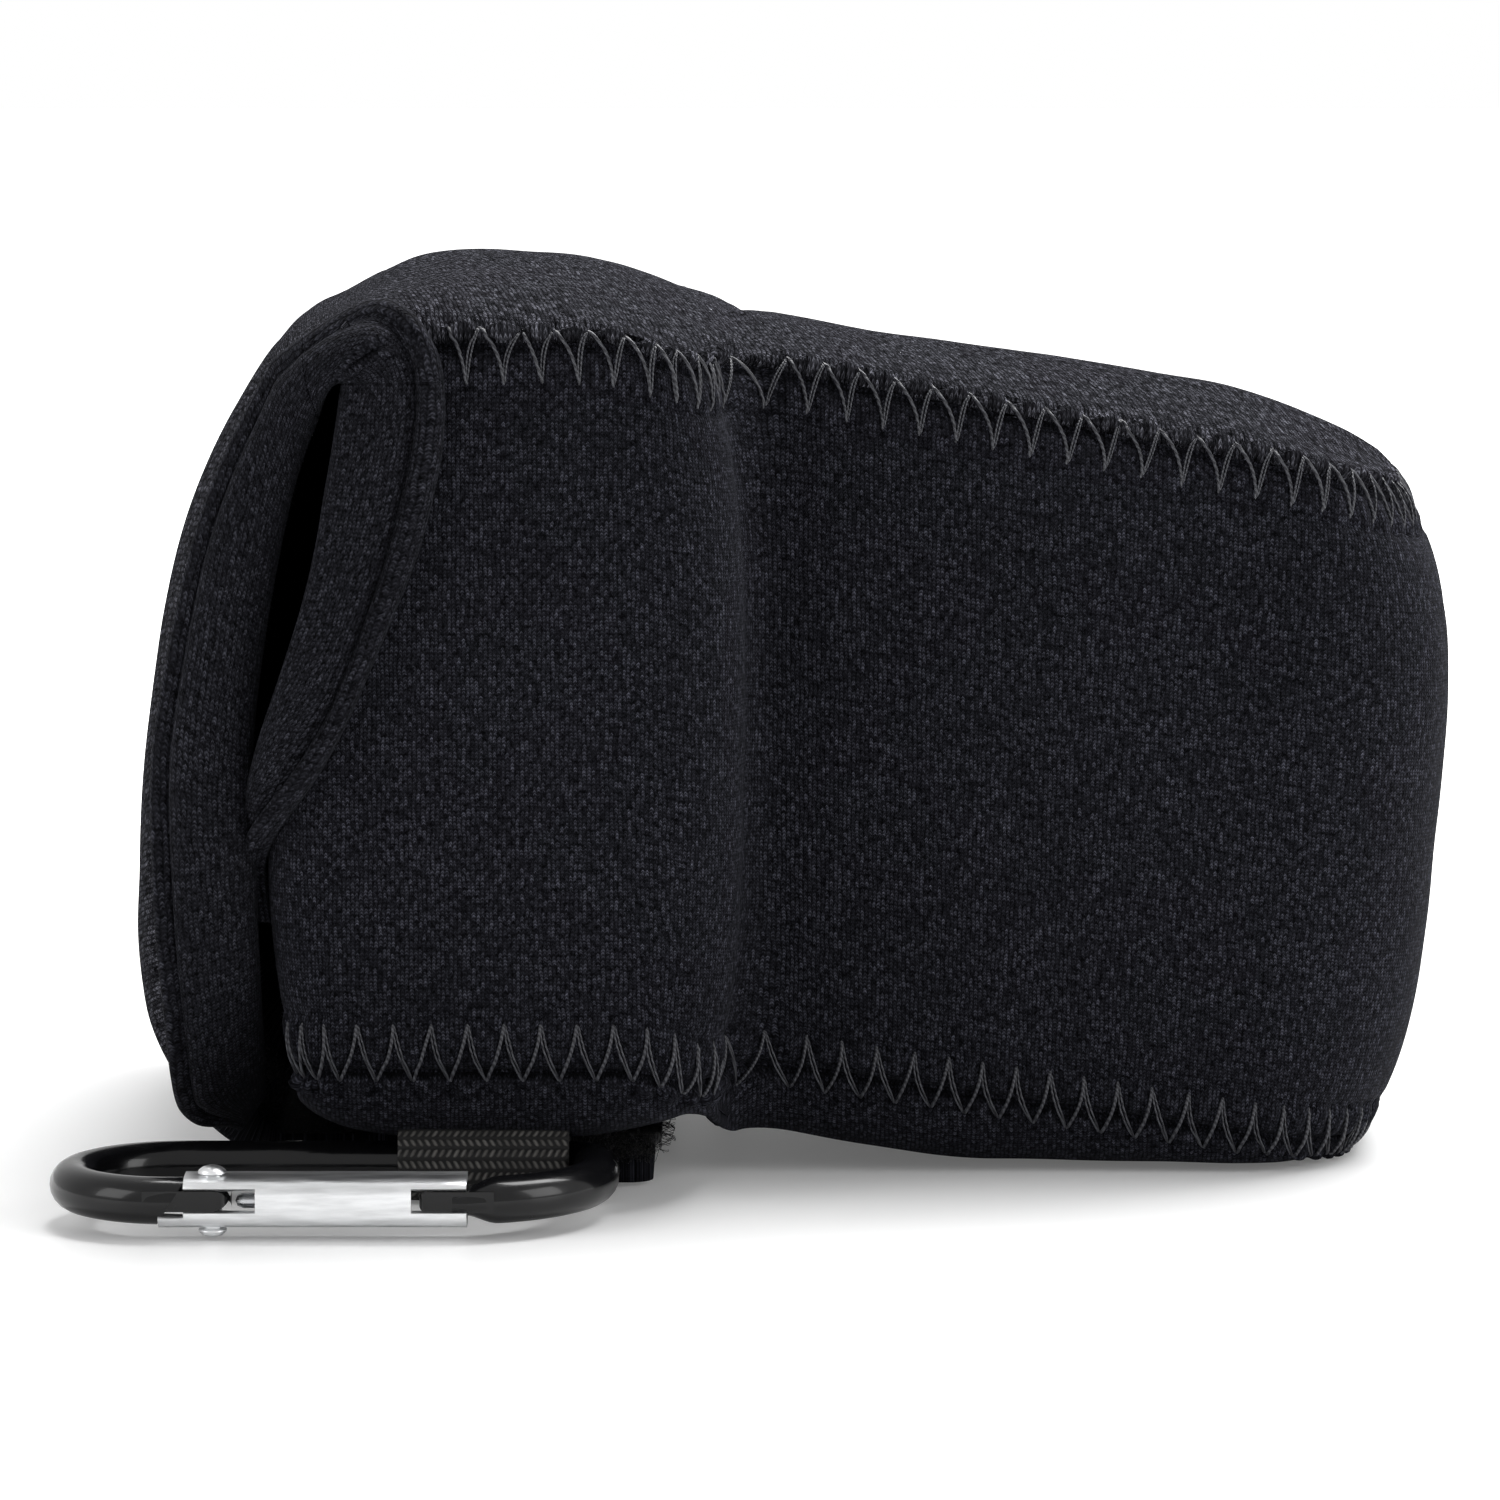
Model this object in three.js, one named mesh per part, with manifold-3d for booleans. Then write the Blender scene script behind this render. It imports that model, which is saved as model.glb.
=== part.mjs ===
// Neoprene camera case with a lens nose, a rear flap closed by hook-and-loop tape, and a carabiner on a webbing loop.
// Millimetres, +Z up, +X towards the lens nose, the case standing on the underside of its closure tab.
import * as THREE from "three";
import { mergeVertices } from "three/addons/utils/BufferGeometryUtils.js";
import Module from "manifold-3d";

const wasm = await Module();
wasm.setup();

// Neoprene and the gaps that sewn and loose pieces keep
const wall = 4;
const sewnGap = 0.3;
const looseGap = 0.8;

// Plan of the side band, which runs from one rear edge round the lens nose to the other
const bodyHalfWidth = 66;
const bodyRearX = -25.5;
const bodyFrontX = 31;
const rearReturn = 8;
const rearCornerR = 8;
const frontCornerR = 12;
const noseHalfWidth = 43;
const noseTipHalfWidth = 41;
const creaseR = 5;
const noseFrontX = 114.5;
const noseCornerR = 22;
const noseFrontBulge = 1.2;
const noseLean = 5;
const noseLeanPivot = 0.45;

// Heights of the two seams and of the crowned panels beyond them
const topSeamZ = 101.6;
const topSeamSlope = 0.203;
const topSlopeStartX = 12;
const bottomSeamZ = 19.5;
const bottomSeamSlope = 0.161;
const bottomSlopeStartX = 15;
const slopeEase = 10;
const seamInset = 3.4;
const crownPower = 5;
const floorPower = 6;
const frontCrownRun = 13;
const crownLine = [[-15.7, 104.2], [-10, 107], [2, 109.2], [14, 108.4], [29, 103.4], [60, 98.6], [91, 91.6], [105, 87.4], [115.7, 84.2]];
const bodyFloorZ = 6.4;
const noseFloorStartX = 22;
const noseFloorEndX = 66;
const hingeX = -15.6;

// The side opening: how far its edge runs forward of the rear return as it climbs
const openingFootZ = 38;
const openingRun = 29.4;
const openingRise = 35;

// Edge tape, folded over the raw edges of the opening and of the flap
const tapeThickness = 1.2;
const tapeWidth = 7.2;
const tapeLip = 2.2;
const flapTapeWidth = 6.4;
const tapeGroove = 0.5;
const tapeGrooveDepth = 0.8;
const tapeInnerWidth = 3;
const tapeSqueeze = 0.65;

// Rear flap: its centre line and its side edge, each as x and z
const flapCentreLine = [
  [-16, 104.1], [-24.8, 97.2], [-34.1, 80.1], [-40.2, 60.7], [-42.9, 38], [-42.3, 20], [-38, 7], [-32, 1.2], [-26, 0],
];
const flapEdgeLine = [
  [-16, 98], [-21.8, 86.5], [-26.5, 71.6], [-29, 54.7], [-29.4, 40], [-29.8, 26], [-29.6, 14], [-29, 6.5], [-26, 3.6],
];
const flapHalfWidth = 61.5;
const flapTaperStart = 0.5;
const flapSquareness = 3;
const tabSquareness = 9;
const flapHingeGap = 0.4;

// Closure tab and its hook-and-loop tape
const tabThickness = 3.2;
const tabHalfWidth = 29;
const tabStartX = -25.6;
const tabEndX = 20;
const tabCornerR = 3;
const crossbarStartX = 11;
const crossbarHalfWidth = 46;
const hookThickness = 0.9;
const loopThickness = 1.3;
const tapeMargin = 1;
const loopPatchBeyond = 1;
const patchStartX = -18;

// Zigzag seam thread
const threadR = 0.34;
const stitchPitch = 4.3;
const stitchAbove = 2;
const stitchBelow = 3.8;

// Webbing loop and the carabiner that hangs in it
const webbingWidth = 19;
const webbingThickness = 1.2;
const webbingCentreX = -0.3;
const webbingInset = 10;
const anchorLength = 9;
const barR = 2.75;
const barPlay = 0.25;
const ringLength = 66;
const ringWidth = 30;
const ringRightX = 16.3;
const ringFarCornerR = 4.2;
const ringNearCornerR = 16;
const gateLength = 32.5;
const gateHeight = 6;
const gateDepth = 5.6;
const gateSheet = 1;
const gateHingeNotch = 8;
const gateNoseNotch = 5;
const gateRunningGap = 0.35;
const gateEndGap = 0.6;
const gateHingeGap = 1.3;
const tangEndR = 2.25;
const tangHeight = 3;
const tangRoot = 2;
const pinR = 1.1;
const pinHeadR = 1.75;
const pinHeadHeight = 1.1;
const pinFromEnd = 3.2;
const plungerR = 0.9;
const plungerLength = 2.6;
const springR = 1.05;
const springWireR = 0.22;
const springTurns = 6;
const springLength = 7;

const neoprene = new THREE.MeshStandardMaterial({ color: 0x1b1c21, roughness: 0.9, metalness: 0 });
const edgeTape = new THREE.MeshStandardMaterial({ color: 0x1d1e23, roughness: 0.85, metalness: 0 });
const thread = new THREE.MeshStandardMaterial({ color: 0x3d3f46, roughness: 0.6, metalness: 0 });
const fastenerTape = new THREE.MeshStandardMaterial({ color: 0x0c0c0e, roughness: 1, metalness: 0 });
const webbing = new THREE.MeshStandardMaterial({ color: 0x2c2b2b, roughness: 0.8, metalness: 0 });
const blackMetal = new THREE.MeshStandardMaterial({ color: 0x08080a, roughness: 0.2, metalness: 0.4 });
const bareMetal = new THREE.MeshStandardMaterial({ color: 0xc9ccd0, roughness: 0.3, metalness: 1 });

const { clamp, lerp, smoothstep } = THREE.MathUtils;
const vec = (x, y, z) => new THREE.Vector3(x, y, z);

// One closed geometry from points and triangles, turned to face out.
function closedGeometry(points, triangles) {
  const geometry = new THREE.BufferGeometry().setFromPoints(points);
  geometry.setIndex(triangles.flat());
  let volume = 0;
  for (const [a, b, c] of triangles) volume += points[a].dot(points[b].clone().cross(points[c]));
  if (volume < 0) geometry.setIndex(triangles.flatMap(([a, b, c]) => [a, c, b]));
  return geometry;
}

// A wall between an outer and an inner surface, both given over u and v from 0 to 1.
function skin(outer, inner, columns, rows) {
  const points = [];
  for (const surface of [outer, inner]) {
    for (let i = 0; i <= columns; i++) {
      for (let j = 0; j <= rows; j++) points.push(surface(i / columns, j / rows));
    }
  }
  const layer = (columns + 1) * (rows + 1);
  const at = (i, j) => i * (rows + 1) + j;
  const triangles = [];
  const quad = (a, b, c, d) => triangles.push([a, b, c], [a, c, d]);
  for (let i = 0; i < columns; i++) {
    for (let j = 0; j < rows; j++) {
      const corners = [at(i, j), at(i + 1, j), at(i + 1, j + 1), at(i, j + 1)];
      if (i < columns / 2) corners.push(corners.shift());
      quad(...corners);
      quad(...corners.reverse().map((k) => k + layer));
    }
    quad(at(i + 1, 0), at(i, 0), at(i, 0) + layer, at(i + 1, 0) + layer);
    quad(at(i, rows), at(i + 1, rows), at(i + 1, rows) + layer, at(i, rows) + layer);
  }
  for (let j = 0; j < rows; j++) {
    quad(at(0, j + 1), at(0, j + 1) + layer, at(0, j) + layer, at(0, j));
    quad(at(columns, j + 1), at(columns, j), at(columns, j) + layer, at(columns, j + 1) + layer);
  }
  return closedGeometry(points, triangles);
}

// A closed section carried along stations, where place(t, x, y) puts a section point in space.
function sweep(section, stations, place) {
  const points = [];
  for (let i = 0; i <= stations; i++) {
    for (const p of section) points.push(place(i / stations, p.x, p.y));
  }
  const around = section.length;
  const triangles = [];
  for (let i = 0; i < stations; i++) {
    for (let j = 0; j < around; j++) {
      const a = i * around + j;
      const b = i * around + ((j + 1) % around);
      triangles.push([a, b, b + around], [a, b + around, a + around]);
    }
  }
  // The caps close the way the section runs, so a clockwise section is turned first.
  const turned = THREE.ShapeUtils.isClockWise(section);
  for (const [a, b, c] of THREE.ShapeUtils.triangulateShape(section, [])) {
    const last = stations * around;
    triangles.push(turned ? [a, b, c] : [a, c, b]);
    triangles.push(turned ? [a + last, c + last, b + last] : [a + last, b + last, c + last]);
  }
  return closedGeometry(points, triangles);
}

const section = (...pairs) => pairs.map(([x, y]) => new THREE.Vector2(x, y));
const round = (radius, sides) =>
  Array.from({ length: sides }, (_, k) => {
    const turn = ((k + 0.5) * 2 * Math.PI) / sides;
    return new THREE.Vector2(radius * Math.cos(turn), radius * Math.sin(turn));
  });

// The same profile point on a line given by a few x and z pairs.
const profile = (pairs) => new THREE.SplineCurve(pairs.map(([x, z]) => new THREE.Vector2(x, z)));

function solid(geometry) {
  const bare = geometry.clone();
  bare.deleteAttribute("normal");
  bare.deleteAttribute("uv");
  const merged = mergeVertices(bare, 1e-4);
  const mesh = { numProp: 3, vertProperties: merged.attributes.position.array, triVerts: new Uint32Array(merged.index.array) };
  return new wasm.Manifold(new wasm.Mesh(mesh));
}

function geometryOf(manifold) {
  const mesh = manifold.getMesh();
  const geometry = new THREE.BufferGeometry();
  geometry.setAttribute("position", new THREE.BufferAttribute(new Float32Array(mesh.vertProperties), 3));
  geometry.setIndex(new THREE.BufferAttribute(new Uint32Array(mesh.triVerts), 1));
  return geometry;
}

// Plan outline of half the case, by length along it
const plan = new THREE.Path();
plan.moveTo(bodyRearX, -bodyHalfWidth + rearCornerR + rearReturn);
plan.lineTo(bodyRearX, -bodyHalfWidth + rearCornerR);
plan.absarc(bodyRearX + rearCornerR, -bodyHalfWidth + rearCornerR, rearCornerR, Math.PI, 1.5 * Math.PI, false);
plan.lineTo(bodyFrontX - frontCornerR, -bodyHalfWidth);
plan.absarc(bodyFrontX - frontCornerR, -bodyHalfWidth + frontCornerR, frontCornerR, -Math.PI / 2, 0, false);
plan.lineTo(bodyFrontX, -noseHalfWidth - creaseR);
plan.absarc(bodyFrontX + creaseR, -noseHalfWidth - creaseR, creaseR, Math.PI, Math.PI / 2, true);
plan.lineTo(noseFrontX - noseCornerR, -noseTipHalfWidth);
plan.absarc(noseFrontX - noseCornerR, -noseTipHalfWidth + noseCornerR, noseCornerR, -Math.PI / 2, 0, false);
plan.quadraticCurveTo(
  noseFrontX + noseFrontBulge, (-noseTipHalfWidth + noseCornerR) / 2, noseFrontX + noseFrontBulge, 0,
);
const planLength = plan.getLength();

// A point of the near half's outline and its outward normal, moved in by an inset.
function planPoint(along, inset) {
  const t = clamp(along / planLength, 0, 1);
  const p = plan.getPoint(t);
  const d = plan.getTangent(t);
  return { x: p.x - d.y * inset, y: Math.min(p.y + d.x * inset, 0) };
}

// Length along the outline at which the side reaches a given x.
function alongAtX(x) {
  let low = rearReturn;
  let high = planLength;
  for (let i = 0; i < 40; i++) {
    const middle = (low + high) / 2;
    if (plan.getPoint(middle / planLength).x < x) low = middle;
    else high = middle;
  }
  return (low + high) / 2;
}

// A slope that starts at a given x and eases in over a short run.
const easedSlope = (x, start, slope) => slope * Math.max(0, x - start) * smoothstep(x, start, start + slopeEase);
const topSeam = (x) => topSeamZ - easedSlope(x, topSlopeStartX, topSeamSlope);
const bottomSeam = (x) => bottomSeamZ - easedSlope(x, bottomSlopeStartX, bottomSeamSlope);
const openingEdge = (z) => openingRun * (1 - Math.exp(-Math.max(0, z - openingFootZ) / openingRise));

// The nose leans: its top reaches further forward than its foot.
const leanAt = (x, share) => noseLean * smoothstep(x, bodyFrontX + creaseR, noseFrontX) * (share - noseLeanPivot);

// Point of the side band's surface at a length along the outline and a share of the height between the seams.
function bandPoint(along, share, depth) {
  const bulge = Math.pow(Math.abs(2 * share - 1), 3);
  const p = planPoint(along, seamInset * bulge + depth);
  const reference = plan.getPoint(clamp(along / planLength, 0, 1)).x;
  return vec(p.x + leanAt(reference, share), p.y, lerp(bottomSeam(reference), topSeam(reference), share));
}

const mirrored = (p) => vec(p.x, -p.y, p.z);

// Lengths along the outline where the mesh has a column: close together round the corners.
const frontCornerStart = rearReturn + (Math.PI / 2) * rearCornerR + bodyFrontX - frontCornerR - bodyRearX - rearCornerR;
const columnRuns = [
  [frontCornerStart, 14], [(Math.PI / 2) * frontCornerR, 6], [bodyHalfWidth - frontCornerR - noseHalfWidth - creaseR, 1],
  [(Math.PI / 2) * creaseR, 4], [noseFrontX - noseCornerR - bodyFrontX - creaseR, 5], [(Math.PI / 2) * noseCornerR, 8],
];
const columnsAlong = [0];
for (const [length, count] of columnRuns) {
  const from = columnsAlong.at(-1);
  for (let k = 1; k <= count; k++) columnsAlong.push(from + (length * k) / count);
}
for (let k = 1, from = columnsAlong.at(-1); k <= 3; k++) columnsAlong.push(lerp(from, planLength, k / 3));

// Shares of the height where the mesh has a row: close together where the opening's edge bends.
const tapeFootShare = 0.2;
const rowShares = [0, 0.08, tapeFootShare, 0.25, 0.3, 0.36, 0.43, 0.53, 0.66, 0.8, 0.92, 1];
const rowEdges = rowShares.map((share) => openingEdge(lerp(bottomSeamZ, topSeamZ, share)));

// The cloth is thinner under its edge tape, by the squeeze on each face.
function squeezed(depth, fromEdge) {
  const squeeze = tapeSqueeze * (1 - smoothstep(fromEdge, tapeWidth, tapeWidth + tapeLip + 3));
  return depth + (depth > 0 ? -squeeze : squeeze);
}

function sideBand() {
  const last = columnsAlong.length - 1;
  const rows = rowShares.length - 1;
  const surface = (depth) => (u, v) => {
    const far = u > 0.5;
    const column = columnsAlong[Math.round((far ? 2 - 2 * u : 2 * u) * last)];
    const row = Math.round(v * rows);
    const start = rowEdges[row];
    const along = column + start * Math.max(0, 1 - column / frontCornerStart);
    const p = bandPoint(along, rowShares[row], squeezed(depth, rowShares[row] < tapeFootShare ? planLength : along - start));
    return far ? mirrored(p) : p;
  };
  return skin(surface(0), surface(wall), 2 * last, rows);
}

// Height of the crowned panels at their middle.
const crown = profile(crownLine);
function crownZ(x) {
  let low = 0;
  let high = 1;
  for (let i = 0; i < 30; i++) {
    const middle = (low + high) / 2;
    if (crown.getPoint(middle).x < x) low = middle;
    else high = middle;
  }
  return crown.getPoint((low + high) / 2).y;
}
const noseTipX = noseFrontX + noseFrontBulge;
const frontRounding = (x) => Math.sqrt(1 - Math.pow(clamp((x - noseTipX + frontCrownRun) / frontCrownRun, 0, 0.98), 2));
const floorZ = (x) => bodyFloorZ * (1 - smoothstep(x, noseFloorStartX, noseFloorEndX));

// A point of the top or bottom panel: across runs from -1 at the near seam to 1 at the far one.
function panelPoint(along, across, depth, top) {
  const edge = planPoint(along, seamInset + depth);
  const reference = plan.getPoint(clamp(along / planLength, 0, 1)).x;
  const x = edge.x + leanAt(reference, top ? 1 : 0);
  const seam = top ? topSeam(reference) + sewnGap : bottomSeam(reference) - sewnGap;
  const rise = top ? crownZ(x) - depth - seam : seam - floorZ(x) - depth;
  const lift = Math.max(0.4, rise * frontRounding(edge.x + depth));
  const round = Math.pow(1 - Math.pow(Math.abs(across), top ? crownPower : floorPower), top ? 1 / 2 : 1 / 3);
  return vec(x, edge.y * -across, seam + (top ? 1 : -1) * lift * round);
}

function crownedPanel(startAlong, top) {
  const endAlong = planLength - noseTipHalfWidth / 4;
  const inner = columnsAlong.filter((along) => along > startAlong + 1 && along < endAlong - 1);
  const columns = [startAlong, ...inner, endAlong];
  const last = columns.length - 1;
  const surface = (depth) => (u, v) =>
    panelPoint(columns[Math.round(u * last)], Math.sin((v - 0.5) * Math.PI), depth, top);
  return skin(surface(0), surface(wall), last, 14);
}

// Rear flap, lofted from its centre line to its side edge
const centreLine = profile(flapCentreLine);
const edgeLine = profile(flapEdgeLine);
const hingeHalfWidth = bodyHalfWidth - seamInset;
const flapSquare = (t) => lerp(flapSquareness, tabSquareness, smoothstep(t, flapTaperStart, 1));
function flapWidth(t) {
  const upper = lerp(hingeHalfWidth, flapHalfWidth, smoothstep(t, 0, 0.2));
  return lerp(upper, tabHalfWidth, smoothstep(t, flapTaperStart, 1));
}

// inward is 0 on the centre line and 1 at the side edge, measured towards the edge line.
function flapPoint(t, inward, side, depth) {
  const centre = centreLine.getPoint(t);
  const edge = edgeLine.getPoint(t);
  const reach = edge.clone().sub(centre);
  const start = centre.clone().addScaledVector(reach.clone().normalize(), Math.min(depth, reach.length()));
  const p = start.lerp(edge, inward);
  const n = flapSquare(t);
  const y = (flapWidth(t) - depth) * Math.pow(1 - Math.pow(1 - inward, n), 1 / n);
  return vec(p.x, side * y, p.y);
}

function rearFlap() {
  const surface = (depth) => (u, v) => {
    const turn = (v - 0.5) * Math.PI;
    const n = flapSquare(u);
    const fromEdge = Math.pow(Math.cos(turn), 2 / n);
    const reach = edgeLine.getPoint(u).distanceTo(centreLine.getPoint(u));
    const cloth = squeezed(depth, u > 0.95 ? planLength : fromEdge * reach);
    return flapPoint(u, 1 - fromEdge, Math.sign(turn) || 1, cloth);
  };
  return skin(surface(0), surface(wall), 30, 18);
}

// Section of the folded edge tape: x is the distance from the raw edge, y the height off the cloth.
function tapeSection(width, lip) {
  const low = sewnGap;
  const high = sewnGap + tapeThickness;
  const groove = high - tapeGrooveDepth;
  const ridge = lip > 0 ? [[width + tapeGroove, high], [width, groove], [width - tapeGroove, high]] : [];
  const under = [0.1, 0.25, 0.5, 0.75].map((share) => [share * width, low]);
  const over = [0.6, 0.3, 0.1].map((share) => [share * width, high]);
  return section(
    [tapeInnerWidth, -wall - low - 0.15], [0.1, -wall - low], [-low - 0.1, -wall], [-low - 0.1, 0], ...under,
    [width + lip, low], [width + lip, high - 0.2], ...ridge, ...over,
    [-high, 0], [-high, -wall], [0.1, -wall - high], [tapeInnerWidth, -wall - high - 0.15],
  );
}

function openingTape(side) {
  const first = rowShares.indexOf(tapeFootShare);
  const last = rowShares.length - 1;
  const place = (t, x, y) => {
    const row = Math.round(lerp(first, last, t));
    const p = bandPoint(Math.max(rowEdges[row] + x, 0), Math.min(rowShares[row], 0.985), -y);
    return side < 0 ? p : mirrored(p);
  };
  return sweep(tapeSection(tapeWidth, tapeLip), last - first, place);
}

function flapTape(side) {
  const place = (t, x, y) => {
    const u = lerp(0.03, 0.86, t);
    const reach = edgeLine.getPoint(u).distanceTo(centreLine.getPoint(u));
    const n = flapSquare(u);
    const narrowing = Math.min(1 / reach, 0.92 / flapTapeWidth);
    const c = Math.max(x, 0) * narrowing;
    const s = Math.pow(1 - Math.pow(c, n), 1 / n);
    const on = flapPoint(u, 1 - c, side, 0);
    const away = edgeLine.getPoint(u).sub(centreLine.getPoint(u)).normalize();
    const slope = new THREE.Vector2(Math.pow(c, n - 1) / reach, Math.pow(s, n - 1) / flapWidth(u)).normalize();
    const beyond = Math.min(x, 0);
    return vec(
      on.x - away.x * (slope.x * y + beyond), on.y + side * slope.y * y, on.z - away.y * (slope.x * y + beyond),
    );
  };
  return sweep(tapeSection(flapTapeWidth, 0), 26, place);
}

// Zigzag thread over a seam, from one rear end round the nose to the other
function seamThread(top) {
  const first = top ? openingEdge(topSeamZ) + tapeWidth + tapeLip + 1.5 : rearReturn / 2;
  const run = planLength - first;
  const zigs = Math.round((2 * run) / stitchPitch);
  const corner = (k) => {
    const travelled = (k / (2 * zigs)) * 2 * run;
    const far = travelled > run;
    const along = far ? planLength - (travelled - run) : first + travelled;
    const onPanel = k % 2 === 0;
    const seamRange = (x) => topSeam(x) - bottomSeam(x);
    const reference = plan.getPoint(clamp(along / planLength, 0, 1)).x;
    const share = stitchBelow / seamRange(reference);
    const lift = threadR + sewnGap;
    const p = onPanel ? onCrown(along, top, lift) : bandPoint(along, top ? 1 - share : share, -lift);
    return far ? mirrored(p) : p;
  };
  const corners = Array.from({ length: 2 * zigs + 1 }, (_, k) => corner(k));
  const at = (t) => {
    const k = Math.min(Math.floor(t * 2 * zigs), 2 * zigs - 1);
    return corners[k].clone().lerp(corners[k + 1], t * 2 * zigs - k);
  };
  const step = 1 / (2 * zigs);
  const mitre = Math.hypot(stitchAbove + stitchBelow, stitchPitch / 2) / (stitchPitch / 2);
  // The section stays upright and is stretched along z, which mitres it at every corner of the zigzag.
  const place = (t, x, y) => {
    const forward = at(Math.min(1, t + step)).sub(at(Math.max(0, t - step)));
    const out = vec(forward.y, -forward.x, 0).normalize();
    return at(t).addScaledVector(out, x).add(vec(0, 0, y * mitre));
  };
  return sweep(round(threadR, 4), 2 * zigs, place);
}

// The point a stitch's height beyond the seam, on the crowned panel, lifted off the cloth.
function onCrown(along, top, lift) {
  const edge = panelPoint(along, -1, 0, top);
  const normal = planPoint(along, 0);
  const inner = planPoint(along, 1);
  return vec(
    edge.x + (normal.x - inner.x) * lift, edge.y + (normal.y - inner.y) * lift, edge.z + (top ? stitchAbove : -stitchAbove),
  );
}

// A flat piece from a start x to an end x, with a wider crossbar at its front and rounded corners.
function flatTab(startX, endX, trim, cornerR, thickness) {
  const half = tabHalfWidth - trim;
  const barHalf = crossbarHalfWidth - trim;
  const barX = crossbarStartX + trim;
  const shape = new THREE.Shape();
  shape.moveTo(startX, -half);
  shape.lineTo(barX, -half);
  shape.lineTo(barX, -barHalf + cornerR);
  shape.absarc(barX + cornerR, -barHalf + cornerR, cornerR, Math.PI, 1.5 * Math.PI, false);
  shape.lineTo(endX - cornerR, -barHalf);
  shape.absarc(endX - cornerR, -barHalf + cornerR, cornerR, -Math.PI / 2, 0, false);
  shape.lineTo(endX, barHalf - cornerR);
  shape.absarc(endX - cornerR, barHalf - cornerR, cornerR, 0, Math.PI / 2, false);
  shape.lineTo(barX + cornerR, barHalf);
  shape.absarc(barX + cornerR, barHalf - cornerR, cornerR, Math.PI / 2, Math.PI, false);
  shape.lineTo(barX, half);
  shape.lineTo(startX, half);
  return new THREE.ExtrudeGeometry(shape, { depth: thickness, bevelEnabled: false, curveSegments: 2 });
}

// Webbing: two layers sewn flat under the case, and from their end a loop round the carabiner's spine
const webbingY = -(bodyHalfWidth - webbingInset);
const loopInnerR = barR + barPlay;
const loopOuterR = loopInnerR + webbingThickness;
const spineZ = loopOuterR;
const anchorTopZ = bodyFloorZ - sewnGap;
const anchorEndY = webbingY + loopOuterR + looseGap / 2;
function webbingAnchor() {
  const depth = 2 * webbingThickness;
  const half = webbingWidth / 2;
  return boxAt(webbingCentreX - half, webbingCentreX + half, anchorEndY, anchorEndY + anchorLength, anchorTopZ - depth, anchorTopZ);
}

function webbingLoop() {
  const outer = new THREE.Shape();
  outer.absarc(webbingY, spineZ, loopOuterR, 0, 2 * Math.PI, false);
  const bore = new THREE.Path();
  bore.absarc(webbingY, spineZ, loopInnerR, 0, 2 * Math.PI, false);
  outer.holes.push(bore);
  const geometry = new THREE.ExtrudeGeometry(outer, { depth: webbingWidth, bevelEnabled: false, curveSegments: 24 });
  // The profile is drawn in y and z, so the extrusion is laid along x.
  geometry.applyMatrix4(new THREE.Matrix4().set(0, 0, 1, 0, 1, 0, 0, 0, 0, 1, 0, 0, 0, 0, 0, 1));
  return geometry.translate(webbingCentreX - webbingWidth / 2, 0, 0);
}

// Centre line of the carabiner's bar in its own plane: x along it, y away from the spine
const ringAcross = ringWidth - 2 * barR;
const ringLeftX = ringRightX - ringLength;
const ringEndR = ringAcross / 2;
const gateRightX = ringLeftX + (ringLength - gateLength) / 2 + gateLength - 0.5;
const gateLeftX = gateRightX - gateLength;
const pinX = gateLeftX + pinFromEnd;
const nearArcX = ringRightX - barR - ringNearCornerR;
const ringPath = new THREE.Path();
// Past its two bends the bar runs straight to the gate, which is cut out of it later.
const farArcX = ringLeftX + barR + ringEndR;
ringPath.moveTo(Math.max(gateLeftX, farArcX + 0.5), ringAcross);
ringPath.lineTo(farArcX, ringAcross);
ringPath.absarc(farArcX, ringEndR, ringEndR, Math.PI / 2, 1.5 * Math.PI, false);
ringPath.lineTo(ringRightX - barR - ringFarCornerR, 0);
ringPath.absarc(ringRightX - barR - ringFarCornerR, ringFarCornerR, ringFarCornerR, -Math.PI / 2, 0, false);
ringPath.lineTo(ringRightX - barR, ringAcross - ringNearCornerR);
ringPath.absarc(nearArcX, ringAcross - ringNearCornerR, ringNearCornerR, 0, Math.PI / 2, false);
ringPath.lineTo(Math.min(gateRightX, nearArcX - 0.5), ringAcross);

const boxAt = (x0, x1, y0, y1, z0, z1) =>
  new THREE.BoxGeometry(x1 - x0, y1 - y0, z1 - z0).translate((x0 + x1) / 2, (y0 + y1) / 2, (z0 + z1) / 2);
const upright = (radius, height, sides) =>
  new THREE.CylinderGeometry(radius, radius, height, sides).rotateX(Math.PI / 2);

function carabinerRing() {
  const place = (t, x, y) => {
    const p = ringPath.getPoint(t);
    const d = ringPath.getTangent(t);
    return vec(p.x + d.y * x, p.y - d.x * x, y);
  };
  const bar = solid(sweep(round(barR, 12), 64, place));
  const tangZ = tangHeight / 2;
  const tangDepth = gateDepth - 2 * gateSheet - gateRunningGap;
  const tangLow = ringAcross - tangEndR;
  const hinge = boxAt(gateLeftX - gateHingeGap - tangRoot, pinX, tangLow, tangLow + tangDepth, -tangZ, tangZ);
  const hingeEnd = upright(tangEndR, tangHeight, 24).translate(pinX, ringAcross, 0);
  const noseX = gateRightX + gateEndGap;
  const nose = boxAt(noseX - gateNoseNotch, noseX + tangRoot, tangLow, tangLow + tangDepth, -tangZ, tangZ);
  const hole = upright(pinR + gateRunningGap / 4, gateHeight, 20).translate(pinX, ringAcross, 0);
  const reach = barR + 1;
  const cut = boxAt(gateLeftX - gateHingeGap, noseX, ringAcross - reach, ringAcross + reach, -reach, reach);
  let ring = bar.subtract(solid(cut));
  for (const tang of [hinge, hingeEnd, nose]) ring = ring.add(solid(tang));
  return geometryOf(ring.subtract(solid(hole)));
}

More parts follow.
